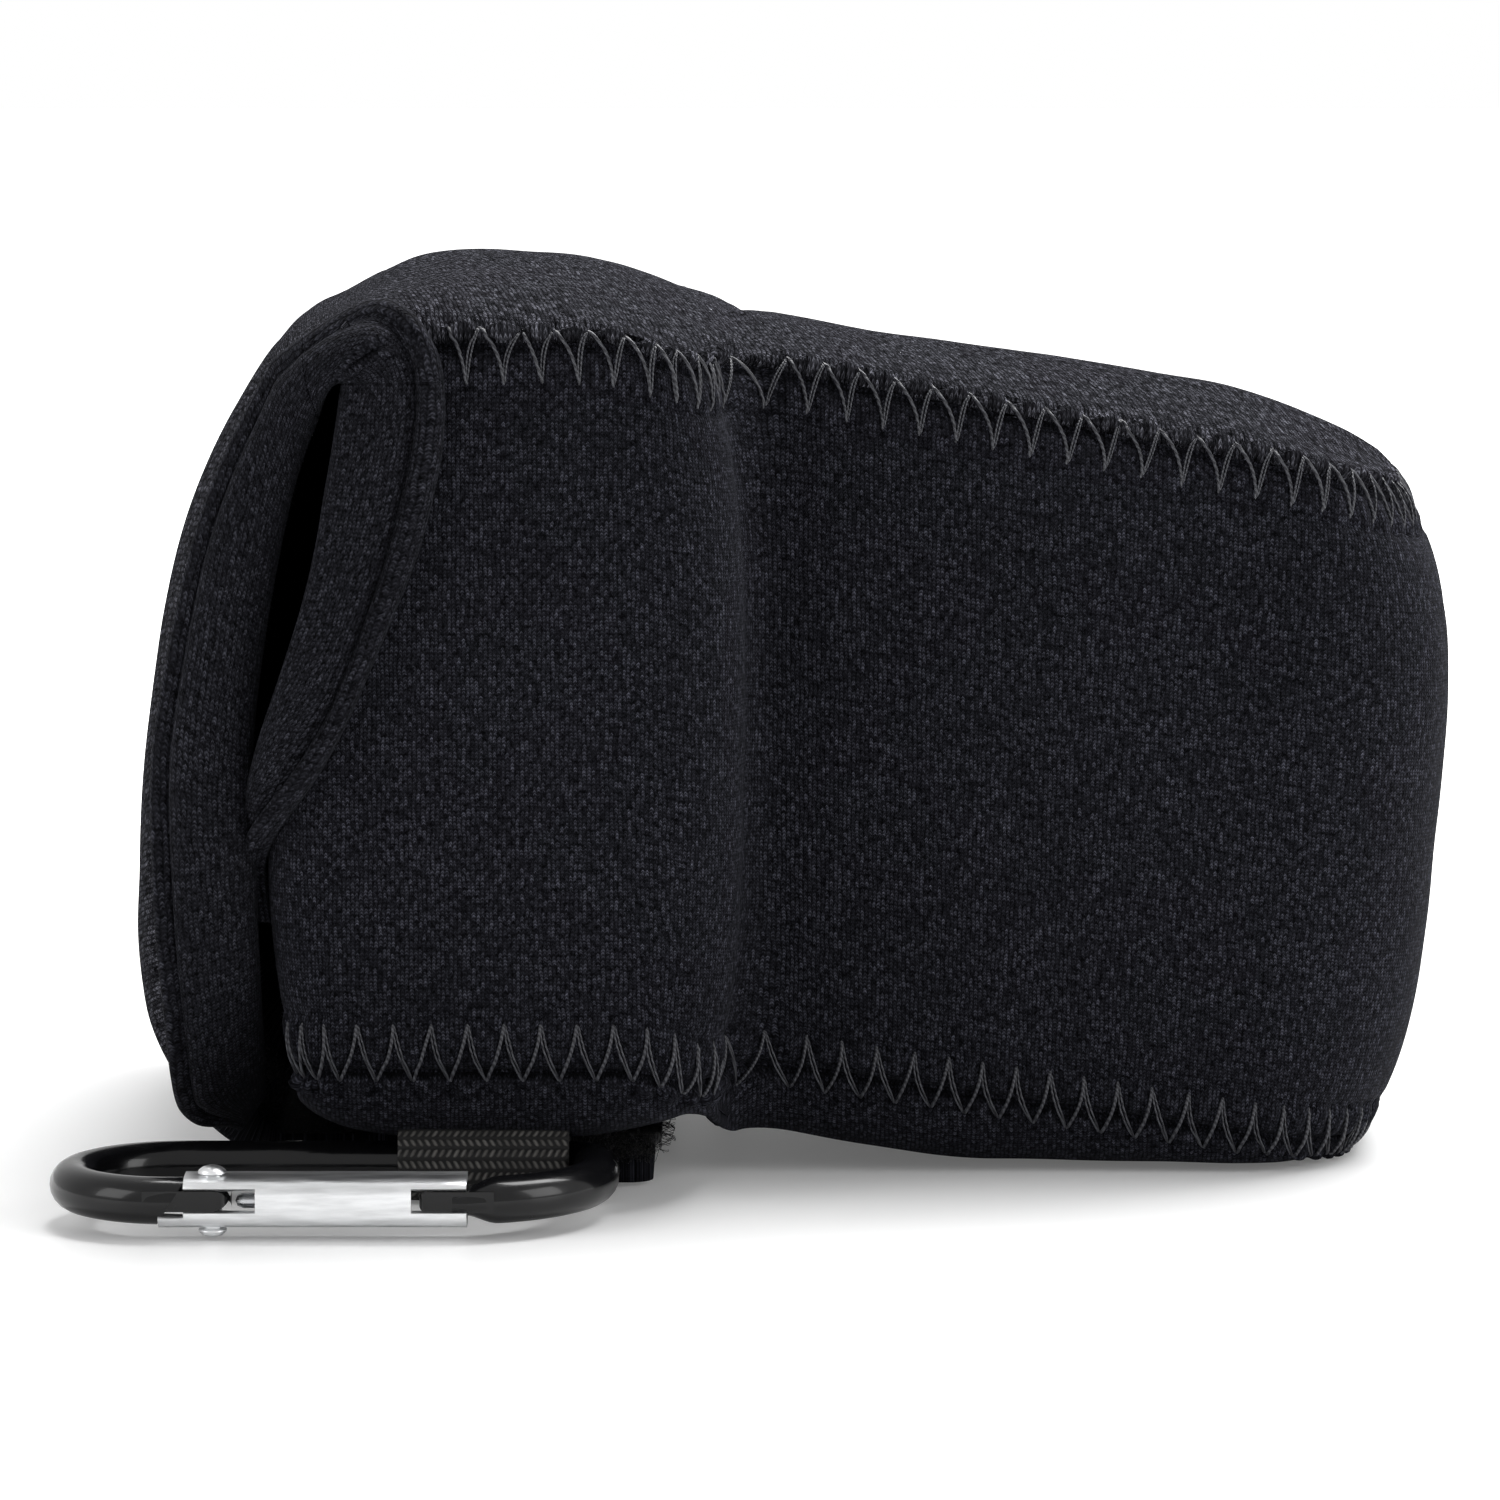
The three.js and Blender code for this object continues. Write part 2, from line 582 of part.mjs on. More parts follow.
// The gate: a channel of bent sheet, open towards the spine, its outer web cut back at both ends
function carabinerGate() {
  const r = 1;
  const halfHeight = gateHeight / 2;
  const low = ringAcross - gateDepth / 2;
  const high = ringAcross + gateDepth / 2;
  const outline = new THREE.Shape();
  outline.moveTo(low, -halfHeight);
  outline.lineTo(high - r, -halfHeight);
  outline.absarc(high - r, -halfHeight + r, r, -Math.PI / 2, 0, false);
  outline.absarc(high - r, halfHeight - r, r, 0, Math.PI / 2, false);
  outline.lineTo(low, halfHeight);
  const block = new THREE.ExtrudeGeometry(outline, { depth: gateLength, bevelEnabled: false, curveSegments: 5 });
  block.applyMatrix4(new THREE.Matrix4().set(0, 0, 1, 0, 1, 0, 0, 0, 0, 1, 0, 0, 0, 0, 0, 1));
  block.translate(gateLeftX, 0, 0);
  const innerHalf = halfHeight - gateSheet;
  const channel = boxAt(gateLeftX - 1, gateRightX + 1, low - 1, high - gateSheet, -innerHalf, innerHalf);
  const hingeNotch = boxAt(gateLeftX - 1, gateLeftX + gateHingeNotch, low, high + 1, -innerHalf, innerHalf);
  const noseNotch = boxAt(gateRightX - gateNoseNotch, gateRightX + 1, low, high + 1, -innerHalf, innerHalf);
  const hole = upright(pinR + gateRunningGap / 4, 2 * gateHeight, 20).translate(pinX, ringAcross, 0);
  let gate = solid(block);
  for (const cut of [channel, hingeNotch, noseNotch, hole]) gate = gate.subtract(solid(cut));
  return geometryOf(gate);
}

// Rivet with two round heads, closed on its axis
function gatePin() {
  const seat = gateHeight / 2 + 0.1;
  const half = section(
    [0, -seat - pinHeadHeight], [pinHeadR * 0.75, -seat - pinHeadHeight * 0.85], [pinHeadR, -seat], [pinR, -seat],
    [pinR, seat], [pinHeadR, seat], [pinHeadR * 0.75, seat + pinHeadHeight * 0.85], [0, seat + pinHeadHeight],
  );
  return new THREE.LatheGeometry(half, 20).rotateX(Math.PI / 2).translate(pinX, ringAcross, 0);
}

// The plunger pushes on the end of the hinge tang, and the spring stands behind it.
const tangEndX = pinX + tangEndR;
const plungerX = tangEndX + gateRunningGap;
const springX = plungerX + plungerLength + sewnGap;
const plungerY = ringAcross - 0.25;
function gatePlunger() {
  const half = section(
    [0, 0], [plungerR * 0.7, plungerR * 0.3], [plungerR, plungerR], [plungerR, plungerLength], [0, plungerLength],
  );
  return new THREE.LatheGeometry(half, 14).rotateZ(-Math.PI / 2).translate(plungerX, plungerY, 0);
}

function gateSpring() {
  const coil = springR - springWireR;
  const place = (t, x, y) => {
    const turn = t * springTurns * 2 * Math.PI;
    const reach = coil + x;
    return vec(
      springX + springWireR + t * (springLength - 2 * springWireR) + y, plungerY + reach * Math.cos(turn), reach * Math.sin(turn),
    );
  };
  return sweep(round(springWireR, 5), springTurns * 8, place);
}

// Bottom stop for the spring, pressed into the gate's channel
function springSeat() {
  const start = springX + springLength + sewnGap;
  const half = gateHeight / 2 - gateSheet - 0.05;
  const low = ringAcross - gateDepth / 2 + 0.4;
  return boxAt(start, start + 1.4, low, ringAcross + gateDepth / 2 - gateSheet - 0.05, -half, half);
}

const part = new THREE.Group();
const add = (parent, name, geometry, material) => {
  const mesh = new THREE.Mesh(geometry, material);
  mesh.name = name;
  parent.add(mesh);
  return mesh;
};

add(part, "side_band", sideBand(), neoprene);
add(part, "top_panel", crownedPanel(alongAtX(hingeX), true), neoprene);
add(part, "bottom_panel", crownedPanel(1, false), neoprene);
add(part, "rear_flap", rearFlap(), neoprene);
add(part, "opening_tape_near", openingTape(-1), edgeTape);
add(part, "opening_tape_far", openingTape(1), edgeTape);
add(part, "flap_tape_near", flapTape(-1), edgeTape);
add(part, "flap_tape_far", flapTape(1), edgeTape);
add(part, "top_seam_thread", seamThread(true), thread);
add(part, "bottom_seam_thread", seamThread(false), thread);

const tab = flatTab(tabStartX, tabEndX, 0, tabCornerR, tabThickness);
add(part, "closure_tab", tab, neoprene);
const patchEnd = tabEndX - tapeMargin;
const hook = flatTab(patchStartX, patchEnd, tapeMargin, tabCornerR - tapeMargin, hookThickness);
add(part, "hook_patch", hook.translate(0, 0, tabThickness + 0.05), fastenerTape);
const loopLow = bodyFloorZ - sewnGap - loopThickness;
const loop = flatTab(patchStartX, tabEndX + loopPatchBeyond, 0, tabCornerR, loopThickness);
add(part, "loop_patch", loop.translate(0, 0, loopLow), fastenerTape);

add(part, "webbing_anchor", webbingAnchor(), webbing);
add(part, "webbing_loop", webbingLoop(), webbing);

// The carabiner lies in the loop with its gate side down on the table.
const carabiner = new THREE.Group();
carabiner.position.set(0, webbingY, spineZ);
carabiner.rotation.x = Math.PI + Math.asin((spineZ - gateHeight / 2 - pinHeadHeight - 0.1) / ringAcross);
part.add(carabiner);
add(carabiner, "carabiner_ring", carabinerRing(), blackMetal);
add(carabiner, "carabiner_gate", carabinerGate(), bareMetal);
add(carabiner, "gate_pin", gatePin(), bareMetal);
add(carabiner, "gate_plunger", gatePlunger(), bareMetal);
add(carabiner, "gate_spring", gateSpring(), bareMetal);
add(carabiner, "spring_seat", springSeat(), bareMetal);

export default part;
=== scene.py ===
import math
from bisect import bisect_left
import bmesh
import bpy
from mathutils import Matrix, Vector, noise
from mathutils.bvhtree import BVHTree
from mathutils.kdtree import KDTree


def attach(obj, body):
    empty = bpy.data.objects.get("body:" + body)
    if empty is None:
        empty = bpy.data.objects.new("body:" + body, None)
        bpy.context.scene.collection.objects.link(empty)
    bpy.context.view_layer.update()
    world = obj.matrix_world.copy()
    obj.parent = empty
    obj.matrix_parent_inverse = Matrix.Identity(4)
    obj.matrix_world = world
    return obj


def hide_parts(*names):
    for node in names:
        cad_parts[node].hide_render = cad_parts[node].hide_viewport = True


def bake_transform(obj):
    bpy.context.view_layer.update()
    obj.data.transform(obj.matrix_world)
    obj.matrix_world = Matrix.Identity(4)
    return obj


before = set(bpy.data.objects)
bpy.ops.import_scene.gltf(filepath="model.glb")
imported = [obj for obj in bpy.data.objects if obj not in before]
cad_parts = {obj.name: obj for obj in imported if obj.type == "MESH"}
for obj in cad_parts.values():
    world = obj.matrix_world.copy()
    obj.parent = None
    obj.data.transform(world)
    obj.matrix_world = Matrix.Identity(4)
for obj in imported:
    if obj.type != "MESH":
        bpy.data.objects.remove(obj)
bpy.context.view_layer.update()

# Studio. The camera stands a little above the case and looks slightly down on its near side.
# The case stands on a pale table under one wide lamp overhead, with two weaker ones at the sides.
camera = bpy.data.objects.new("camera", bpy.data.cameras.new("camera"))
camera.location = (0.0316, -0.918, 0.156)
camera.rotation_euler = (math.radians(90 - 6.78), 0, 0)
camera.data.sensor_width = 36
camera.data.lens = 177.2
bpy.context.scene.collection.objects.link(camera)
bpy.context.scene.camera = camera
bpy.context.scene.view_settings.view_transform = "Standard"


def studio_lamp(name, place, target, width, height, power):
    lamp = bpy.data.objects.new(name, bpy.data.lights.new(name, "AREA"))
    lamp.data.shape = "RECTANGLE"
    lamp.data.size = width
    lamp.data.size_y = height
    lamp.data.energy = power
    lamp.location = place
    lamp.rotation_euler = (Vector(target) - Vector(place)).to_track_quat("-Z", "Y").to_euler()
    bpy.context.scene.collection.objects.link(lamp)


studio_lamp("lamp_overhead", (0.27, 0.32, 0.8), (0.03, 0, 0.05), 0.8, 0.65, 18)
studio_lamp("lamp_left", (-0.75, -0.45, 0.45), (0, 0, 0.05), 0.45, 0.6, 2.5)
studio_lamp("lamp_right", (0.85, -0.4, 0.4), (0.03, 0, 0.05), 0.45, 0.6, 3)


# A node whose inputs are set to numbers and colours, or joined to the outputs of other nodes.
def add_node(tree, kind, inputs, **settings):
    node = tree.nodes.new(f"ShaderNode{kind}")
    for name, setting in settings.items():
        setattr(node, name, setting)
    join(tree, node, inputs)
    return node


def join(tree, node, inputs):
    for name, value in inputs.items():
        if isinstance(value, bpy.types.NodeSocket):
            tree.links.new(value, node.inputs[name])
        else:
            node.inputs[name].default_value = value


# The room is white to the camera and in reflections, and gives the case a dim light.
world = bpy.data.worlds.new("white_room")
bpy.context.scene.world = world
world.use_nodes = True
room = world.node_tree
seen = add_node(room, "LightPath", {})
dimmed = add_node(room, "Math", {0: seen.outputs["Is Glossy Ray"], 1: 0.55}, operation="MULTIPLY")
mirrored = add_node(
    room, "Math", {0: seen.outputs["Is Camera Ray"], 1: dimmed.outputs["Value"]}, operation="MAXIMUM"
)
strength = add_node(room, "MapRange", {"Value": mirrored.outputs["Value"], "To Min": 0.35, "To Max": 1})
join(room, room.nodes["Background"], {"Color": (1, 1, 1, 1), "Strength": strength.outputs["Result"]})


def put_down(mesh, name):
    piece = bpy.data.objects.new(name, bpy.data.meshes.new(name))
    mesh.to_mesh(piece.data)
    mesh.free()
    bpy.context.scene.collection.objects.link(piece)
    return piece


def new_material(name):
    material = bpy.data.materials.new(name)
    material.use_nodes = True
    return material, material.node_tree, material.node_tree.nodes["Principled BSDF"]


def dress(piece, material):
    piece.data.materials.clear()
    piece.data.materials.append(material)


table_drop = 0.0004
table_mesh = bmesh.new()
bmesh.ops.create_grid(table_mesh, x_segments=8, y_segments=8, size=4)
bmesh.ops.translate(table_mesh, verts=table_mesh.verts, vec=(0, 0, -table_drop))
table = put_down(table_mesh, "table")
white, paint, surface = new_material("white_table")
middle = add_node(paint, "TexCoord", {})
away = add_node(paint, "VectorMath", {0: middle.outputs["Object"]}, operation="LENGTH")
lift = add_node(
    paint, "MapRange",
    {"Value": away.outputs["Value"], "From Min": 0.15, "From Max": 0.8, "To Min": 0.12, "To Max": 1},
)
glow = add_node(paint, "LightPath", {})
only = add_node(
    paint, "Math", {0: glow.outputs["Is Camera Ray"], 1: lift.outputs["Result"]}, operation="MULTIPLY"
)
join(paint, surface, {
    "Base Color": (0.93, 0.93, 0.93, 1),
    "Roughness": 0.35,
    "Specular IOR Level": 0.2,
    "Emission Color": (1, 1, 1, 1),
    "Emission Strength": only.outputs["Value"],
})
dress(table, white)

# Side band: one strip of foam rubber faced with knit jersey. It makes the near side, bends in
# at a crease beside the nose, runs round the front and makes the far side. Its rear edges are
# cut on a slant for the openings. Its cloth's ribs stand upright. Sizes are in millimetres.
mm = 0.001
wall = 1.6
bottom_seam_height, top_seam_height = 16.2, 101.6
seam_inset = 3.4
nose_draw_start, nose_draw_end = 96, 115
stitch_pitch = 4.3
stitch_up, stitch_down = 2.4, 4.4


# The lower seam's stitches reach further up the body than up the nose.
def lower_reach(x):
    return 6.3 - 2.1 * blend_in(x, 20, 36)


def blend_in(value, low, high):
    t = min(max((value - low) / (high - low), 0), 1)
    return t * t * (3 - 2 * t)


def straight(a, b):
    a, b = Vector(a), Vector(b)
    return (b - a).length, lambda t: (a.lerp(b, t), (b - a).normalized())


def bend(centre, radius, start, end):
    centre = Vector(centre)
    turn = 1 if end > start else -1

    def at(t):
        angle = math.radians(start + (end - start) * t)
        away = Vector((math.cos(angle), math.sin(angle)))
        return centre + away * radius, Vector((-away.y, away.x)) * turn

    return radius * math.radians(abs(end - start)), at


def nose_front(t):
    a, b, c = Vector((114.5, -19)), Vector((115.7, -9.5)), Vector((115.7, 0))
    return a * (1 - t) ** 2 + b * 2 * t * (1 - t) + c * t * t, ((b - a) * (1 - t) + (c - b) * t).normalized()


# The cut's line seen from above, from the rear edge to the middle of the nose's front.
outline_runs = [
    straight((-25.5, -50), (-25.5, -58)),
    bend((-17.5, -58), 8, 180, 270),
    straight((-17.5, -66), (19, -66)),
    bend((19, -54), 12, 270, 360),
    straight((31, -54), (31, -48)),
    bend((36, -48), 5, 180, 90),
    straight((36, -43), (92.5, -41)),
    bend((92.5, -19), 22, 270, 360),
    (19.04, nose_front),
]
outline_length = sum(length for length, _ in outline_runs)


def outline(along):
    left = min(max(along, 0), outline_length - 0.001)
    for length, at in outline_runs:
        if left <= length:
            break
        left -= length
    point, way = at(min(left / length, 1))
    return point, Vector((way.y, -way.x))


def top_seam(x):
    return top_seam_height - 0.203 * max(0, x - 12) * blend_in(x, 12, 22)


def bottom_seam(x):
    return bottom_seam_height - 0.148 * max(0, x - 15) * blend_in(x, 15, 25)


def wall_height(share):
    return bottom_seam_height + (top_seam_height - bottom_seam_height) * share


# How far the seam draws in from the cut's line. It draws in further round the nose's front.
def drawn_in(x, top):
    return seam_inset + (3.0 if top else 2.6) * blend_in(x, nose_draw_start, nose_draw_end)


# The opening's slanted edge, by how far it has moved forward at each height.
def opening_edge(z):
    return 28 * (1 - math.exp(-max(0, z - 38) / 28))


# The nose's wall leans forward towards the top.
def nose_lean(x, share):
    return 5 * blend_in(x, 36, 114.5) * (share - 0.45)


# The wall bulges between the seams, and more so at the front of the nose.
def band_point(along, share):
    point, out = outline(along)
    draw = drawn_in(point.x, share > 0.5)
    fullness = 1.1 + 1.0 * blend_in(share, 0.4, 0.8)
    swell = blend_in(point.x, 90, 112) * fullness * (1 - abs(2 * share - 1) ** 8)
    moved = point - out * (draw * abs(2 * share - 1) ** 3 - swell)
    height = bottom_seam(point.x) + (top_seam(point.x) - bottom_seam(point.x)) * share
    return Vector((moved.x + nose_lean(point.x, share), min(moved.y, 0), height))


def seam_point(along, top):
    point, out = outline(along)
    moved = point - out * drawn_in(point.x, top)
    height = top_seam(point.x) + 0.2 if top else bottom_seam(point.x) - 0.2
    return Vector((moved.x + nose_lean(point.x, 1 if top else 0), min(moved.y, 0), height))


# A cloth piece starts as a flat grid. Each of its corners goes to its place on the case and keeps
# its place on the cut cloth for the knit. Then the relief pushes it in or out.
outer_skins = {}
chart_scale = 100


def cloth_piece(name, columns, rows, place, relief=None, turn_over=False, thickness=wall):
    mesh = bmesh.new()
    bmesh.ops.create_grid(mesh, x_segments=columns, y_segments=rows, size=0.5)
    cloth = {}
    for corner in mesh.verts:
        point, cloth[corner] = place(corner.co.x + 0.5, corner.co.y + 0.5)
        corner.co = point
    if turn_over:
        bmesh.ops.reverse_faces(mesh, faces=mesh.faces)
    mesh.normal_update()
    if relief:
        for corner in mesh.verts:
            corner.co += corner.normal * relief(*cloth[corner])
    chart = mesh.loops.layers.uv.new("cloth")
    for face in mesh.faces:
        face.smooth = True
        for loop in face.loops:
            loop[chart].uv = cloth[loop.vert][0] / chart_scale, cloth[loop.vert][1] / chart_scale
    bmesh.ops.scale(mesh, verts=mesh.verts, vec=(mm, mm, mm))
    outer_skins[name] = BVHTree.FromBMesh(mesh)
    piece = put_down(mesh, name)
    foam = piece.modifiers.new("foam", "SOLIDIFY")
    foam.thickness = thickness * mm
    foam.offset = -1
    finish_shape(piece)
    return piece


def shaped_mesh(piece):
    bpy.context.view_layer.update()
    ready = piece.evaluated_get(bpy.context.evaluated_depsgraph_get())
    return bpy.data.meshes.new_from_object(ready)


def finish_shape(piece):
    shaped = shaped_mesh(piece)
    piece.modifiers.clear()
    piece.data = shaped


# How far the cloth swells between its stitches and sinks at them. Side 1 is the panel and side -1
# the band, and the reach is how far from the seam the stitches enter the cloth.
def stitched(along, off_seam, side, puff, reach):
    phase = math.pi * along / stitch_pitch
    between = math.sin(phase) ** 2 if side > 0 else math.cos(phase) ** 2
    seam = -1.15 * math.exp(-((off_seam / 0.75) ** 2))
    strip = math.sin(math.pi * min(off_seam / (reach + 0.9), 1))
    hole = -0.6 * math.exp(-(((off_seam - reach) / 0.55) ** 2)) * (1 - between) ** 3
    crease = -0.3 * math.exp(-(((off_seam - reach - 0.5) / 0.6) ** 2))
    return seam + strip * (puff * between - 0.25 * (1 - between)) + hole + crease


# The seam below or above the wall, as points with their length along the cut.
seam_steps = 800


def seam_points(top):
    points = KDTree(2 * (seam_steps + 1))
    for k in range(seam_steps + 1):
        along = outline_length * k / seam_steps
        near = seam_point(along, top)
        points.insert(near, 2 * k)
        points.insert(Vector((near.x, -near.y, near.z)), 2 * k + 1)
    points.balance()
    return points


def seam_distance(points, point):
    _, index, gap = points.find(point)
    return outline_length * (index // 2) / seam_steps, gap


# Slow unevenness of soft cloth over a foam core.
def slack(point, amount):
    return amount * noise.noise(point * 0.03) + 0.35 * amount * noise.noise(point * 0.11)


def band_relief(off_front, height, top_gap):
    along = outline_length - abs(off_front)
    relief = slack(Vector((along, height, 40)), 0.45)
    relief += stitched(along, top_gap, -1, 0.3, stitch_down)
    relief += stitched(along, height, -1, 0.55, lower_reach(outline(along)[0].x)) * blend_in(along, 3, 10)
    return relief


# Sums for a material. Their terms are numbers or the outputs of other nodes.
def calculator(tree):
    def calc(operation, *terms):
        return add_node(tree, "Math", dict(enumerate(terms)), operation=operation).outputs["Value"]

    return calc


# One random number for each stitch of a cloth.
def stitch_chance(tree, column, row):
    calc = calculator(tree)
    cell = add_node(tree, "CombineXYZ", {"X": calc("FLOOR", column), "Y": calc("FLOOR", row)})
    chance = add_node(tree, "TexWhiteNoise", {"Vector": cell.outputs["Vector"]}, noise_dimensions="2D")
    return chance.outputs["Value"]


# Relief that is too fine to model.
def fine_relief(tree, shader, height, strength, depth, invert=False):
    inputs = {"Height": height, "Strength": strength, "Distance": depth}
    bump = add_node(tree, "Bump", inputs, invert=invert)
    tree.links.new(bump.outputs["Normal"], shader.inputs["Normal"])


# The knit face is drawn stitch by stitch on the cut cloth's own measure, in columns and rows of
# loops. Each loop's raised middle is painted lighter and the grooves between loops darker, a painted
# shade of the knit's relief; each stitch also gets a random brightness, and a fuzz lies over all.
def knit_material(name, colour, wale, course, depth, fleck, drawn_out=1, veil=0.018):
    material, tree, shader = new_material(name)
    calc = calculator(tree)
    chart = add_node(tree, "UVMap", {}, uv_map="cloth").outputs["UV"]
    split = add_node(tree, "SeparateXYZ", {"Vector": chart})
    wander = add_node(tree, "TexNoise", {"Vector": chart, "Scale": 40, "Detail": 1}, noise_dimensions="2D")
    strayed = calc("MULTIPLY", calc("SUBTRACT", wander.outputs["Fac"], 0.5), 0.9)
    column = calc("ADD", calc("MULTIPLY", split.outputs["X"], chart_scale / wale), strayed)
    leg = calc("ABSOLUTE", calc("SUBTRACT", calc("FRACT", column), 0.5))
    slanted = calc("ADD", calc("MULTIPLY", leg, 1.3), strayed)
    row = calc("ADD", calc("MULTIPLY", split.outputs["Y"], chart_scale / course), slanted)
    rib = calc("SUBTRACT", 1, calc("POWER", calc("MULTIPLY", leg, 2), 3))
    loop = calc("ADD", calc("MULTIPLY", calc("COSINE", calc("MULTIPLY", row, 2 * math.pi)), 0.5), 0.5)
    height = calc("MULTIPLY", rib, calc("ADD", calc("MULTIPLY", loop, 0.65), 0.35))
    bright = calc("MULTIPLY", calc("POWER", stitch_chance(tree, column, row), 2.5), fleck)

    place = add_node(tree, "TexCoord", {})
    cloudy = add_node(tree, "TexNoise", {"Vector": place.outputs["Object"], "Scale": 45, "Detail": 4})
    patchy = calc("ADD", calc("MULTIPLY", cloudy.outputs["Fac"], 0.4), 0.8)
    stretch = add_node(tree, "Mapping", {"Vector": chart, "Scale": (1, 1 / drawn_out, 1)})
    coarse = {"Vector": stretch.outputs["Vector"], "Scale": 130, "Detail": 3, "Roughness": 0.8}
    grain = add_node(tree, "TexNoise", coarse, noise_dimensions="2D")
    fuzz = calc("MAXIMUM", calc("SUBTRACT", calc("MULTIPLY", grain.outputs["Fac"], 4.4), 1.2), 0.2)
    lit = calc("MULTIPLY", calc("POWER", height, 1.6), calc("ADD", bright, 0.45))
    shade = calc("MULTIPLY", calc("MULTIPLY", calc("ADD", lit, 0.32), fuzz), patchy)
    # The cloth's colour is multiplied by the painted shade: lighter on the raised loops, darker in the
    # grooves.
    painted_shade_mix = {"Factor": 1, "A": (*colour, 1), "B": shade}
    colour_with_painted_shade = add_node(tree, "Mix", painted_shade_mix, data_type="RGBA", blend_type="MULTIPLY")

    fine_relief(tree, shader, calc("ADD", height, grain.outputs["Fac"]), 0.7, depth * mm)
    join(tree, shader, {
        "Base Color": colour_with_painted_shade.outputs["Result"],
        "Roughness": 0.75,
        "Specular IOR Level": 0.8 * veil,
        "Sheen Weight": veil,
        "Sheen Roughness": 0.45,
        "Sheen Tint": (0.86, 0.88, 1, 1),
    })
    return material


neoprene = knit_material("neoprene_knit", (0.0137, 0.014, 0.018), 0.52, 0.44, 0.16, 3.4)

# Rows crowd at the seams. Columns start at the slanted edge and even out by the front corner.
front_corner = 57.07


def band_place(u, v):
    share = v - 0.75 * math.sin(2 * math.pi * v) / (2 * math.pi)
    along = (1 - abs(2 * u - 1)) * outline_length
    start = opening_edge(wall_height(share))
    along += start * max(0, 1 - along / front_corner)
    point = band_point(along, share)
    side = 1 if u < 0.5 else -1
    reference = outline(along)[0].x
    fall = top_seam(reference) - bottom_seam(reference)
    on_cut = (along - outline_length) * side, fall * share, fall * (1 - share)
    return Vector((point.x, point.y * side, point.z)), on_cut


side_band = cloth_piece("side_cloth", 570, 64, band_place, band_relief)
dress(side_band, neoprene)
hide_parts("side_band")
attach(side_band, "case")

# Inside each seam lies its allowance, the turned-in edge of the cloth, which keeps the light out.
allowance_wall = 0.8
allowance_width = 4.2
allowance_inset = 1.3
allowance_drop = 1.4
for top, node in ((True, "upper"), (False, "lower")):
    first_run = 29 if top else 1

    def allowance_place(u, v):
        along = first_run + (1 - abs(2 * u - 1)) * (outline_length - first_run)
        side = 1 if u < 0.5 else -1
        out = outline(along)[1]
        point = seam_point(along, top) - Vector((out.x, out.y, 0)) * allowance_inset
        point.z += (v - 0.5) * allowance_width + (-allowance_drop if top else allowance_drop)
        on_cut = (along - outline_length) * side, v * allowance_width
        return Vector((point.x, min(point.y, -0.02) * side, point.z)), on_cut

    allowance = cloth_piece(f"{node}_seam_allowance", 300, 6, allowance_place, thickness=allowance_wall)
    dress(allowance, neoprene)
    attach(allowance, "case")


# Top panel and rear flap: one sheet of the same cloth. It is crowned between the two seams, and
# behind them it folds down over the back of the case. Its side edges are loose there.
hinge_x = -15.7
flap_half_top, flap_half, flap_half_foot = 62.6, 61.5, 29
front_x = 109.1
nose_tip = 115.7
front_rounding_run = 13
crown_line = [
    (hinge_x, 104.4), (-10, 106.6), (2, 107.9), (14, 106.7), (29, 102.2),
    (60, 97.2), (78, 94.5), (92, 92.4), (105, 87.2), (nose_tip, 81.2),
]
flap_centre = [
    (hinge_x, 104.4), (-20.4, 102.8), (-26.8, 98.2), (-35.8, 81.2), (-40.7, 60.7),
    (-42.6, 38), (-41.4, 21), (-35.6, 8.4), (-31, 2), (-26, 0),
]
flap_edge = [
    (hinge_x, 98.8), (-19.2, 95.1), (-22.7, 86.3), (-26.4, 71.6), (-28.8, 54.7),
    (-28.7, 40), (-28.4, 26), (-28.4, 14), (-28.2, 7), (-26, 3.6),
]


# A smooth line through points. It is read by a share, and each stretch takes as much of it.
def smooth_line(points, t):
    last = len(points) - 1
    t = min(max(t, 0), 1) * last
    i = min(int(t), last - 1)
    t -= i
    a, b, c, d = (Vector(points[min(max(k, 0), last)]) for k in (i - 1, i, i + 1, i + 2))
    return 0.5 * (2 * b + (c - a) * t + (2 * a - 5 * b + 4 * c - d) * t**2 + (3 * b - a - 3 * c + d) * t**3)


# The crown's height is looked up in fine steps along its line.
crown_step_count = 2000
crown_steps = [smooth_line(crown_line, k / crown_step_count) for k in range(crown_step_count + 1)]


def crown_height(x):
    step = crown_steps[min(bisect_left(crown_steps, x, key=lambda place: place.x), crown_step_count)]
    return step.y


def front_rounding(x):
    return math.sqrt(1 - min(max((x - nose_tip + front_rounding_run) / front_rounding_run, 0), 0.98) ** 2)


def crown_share(across, x):
    square = 2.1 + 6 * (1 - blend_in(x, -17, 4))
    return math.sqrt(max(0, 1 - abs(across) ** square))


top_end = outline_length - 1.5


def floor_height(x):
    return 6.4 * (1 - blend_in(x, 15, 62))


# The tray's corners are rounded up under the body.
def floor_corner(across, x):
    round_off = 1 - math.sqrt(1 - min(max((-7 - x) / 17, (x - 7) / 20, 0) ** 2, 0.97))
    return 8.5 * blend_in(abs(across), 0.45, 0.9) * round_off * (1 - blend_in(x, 23, 30))


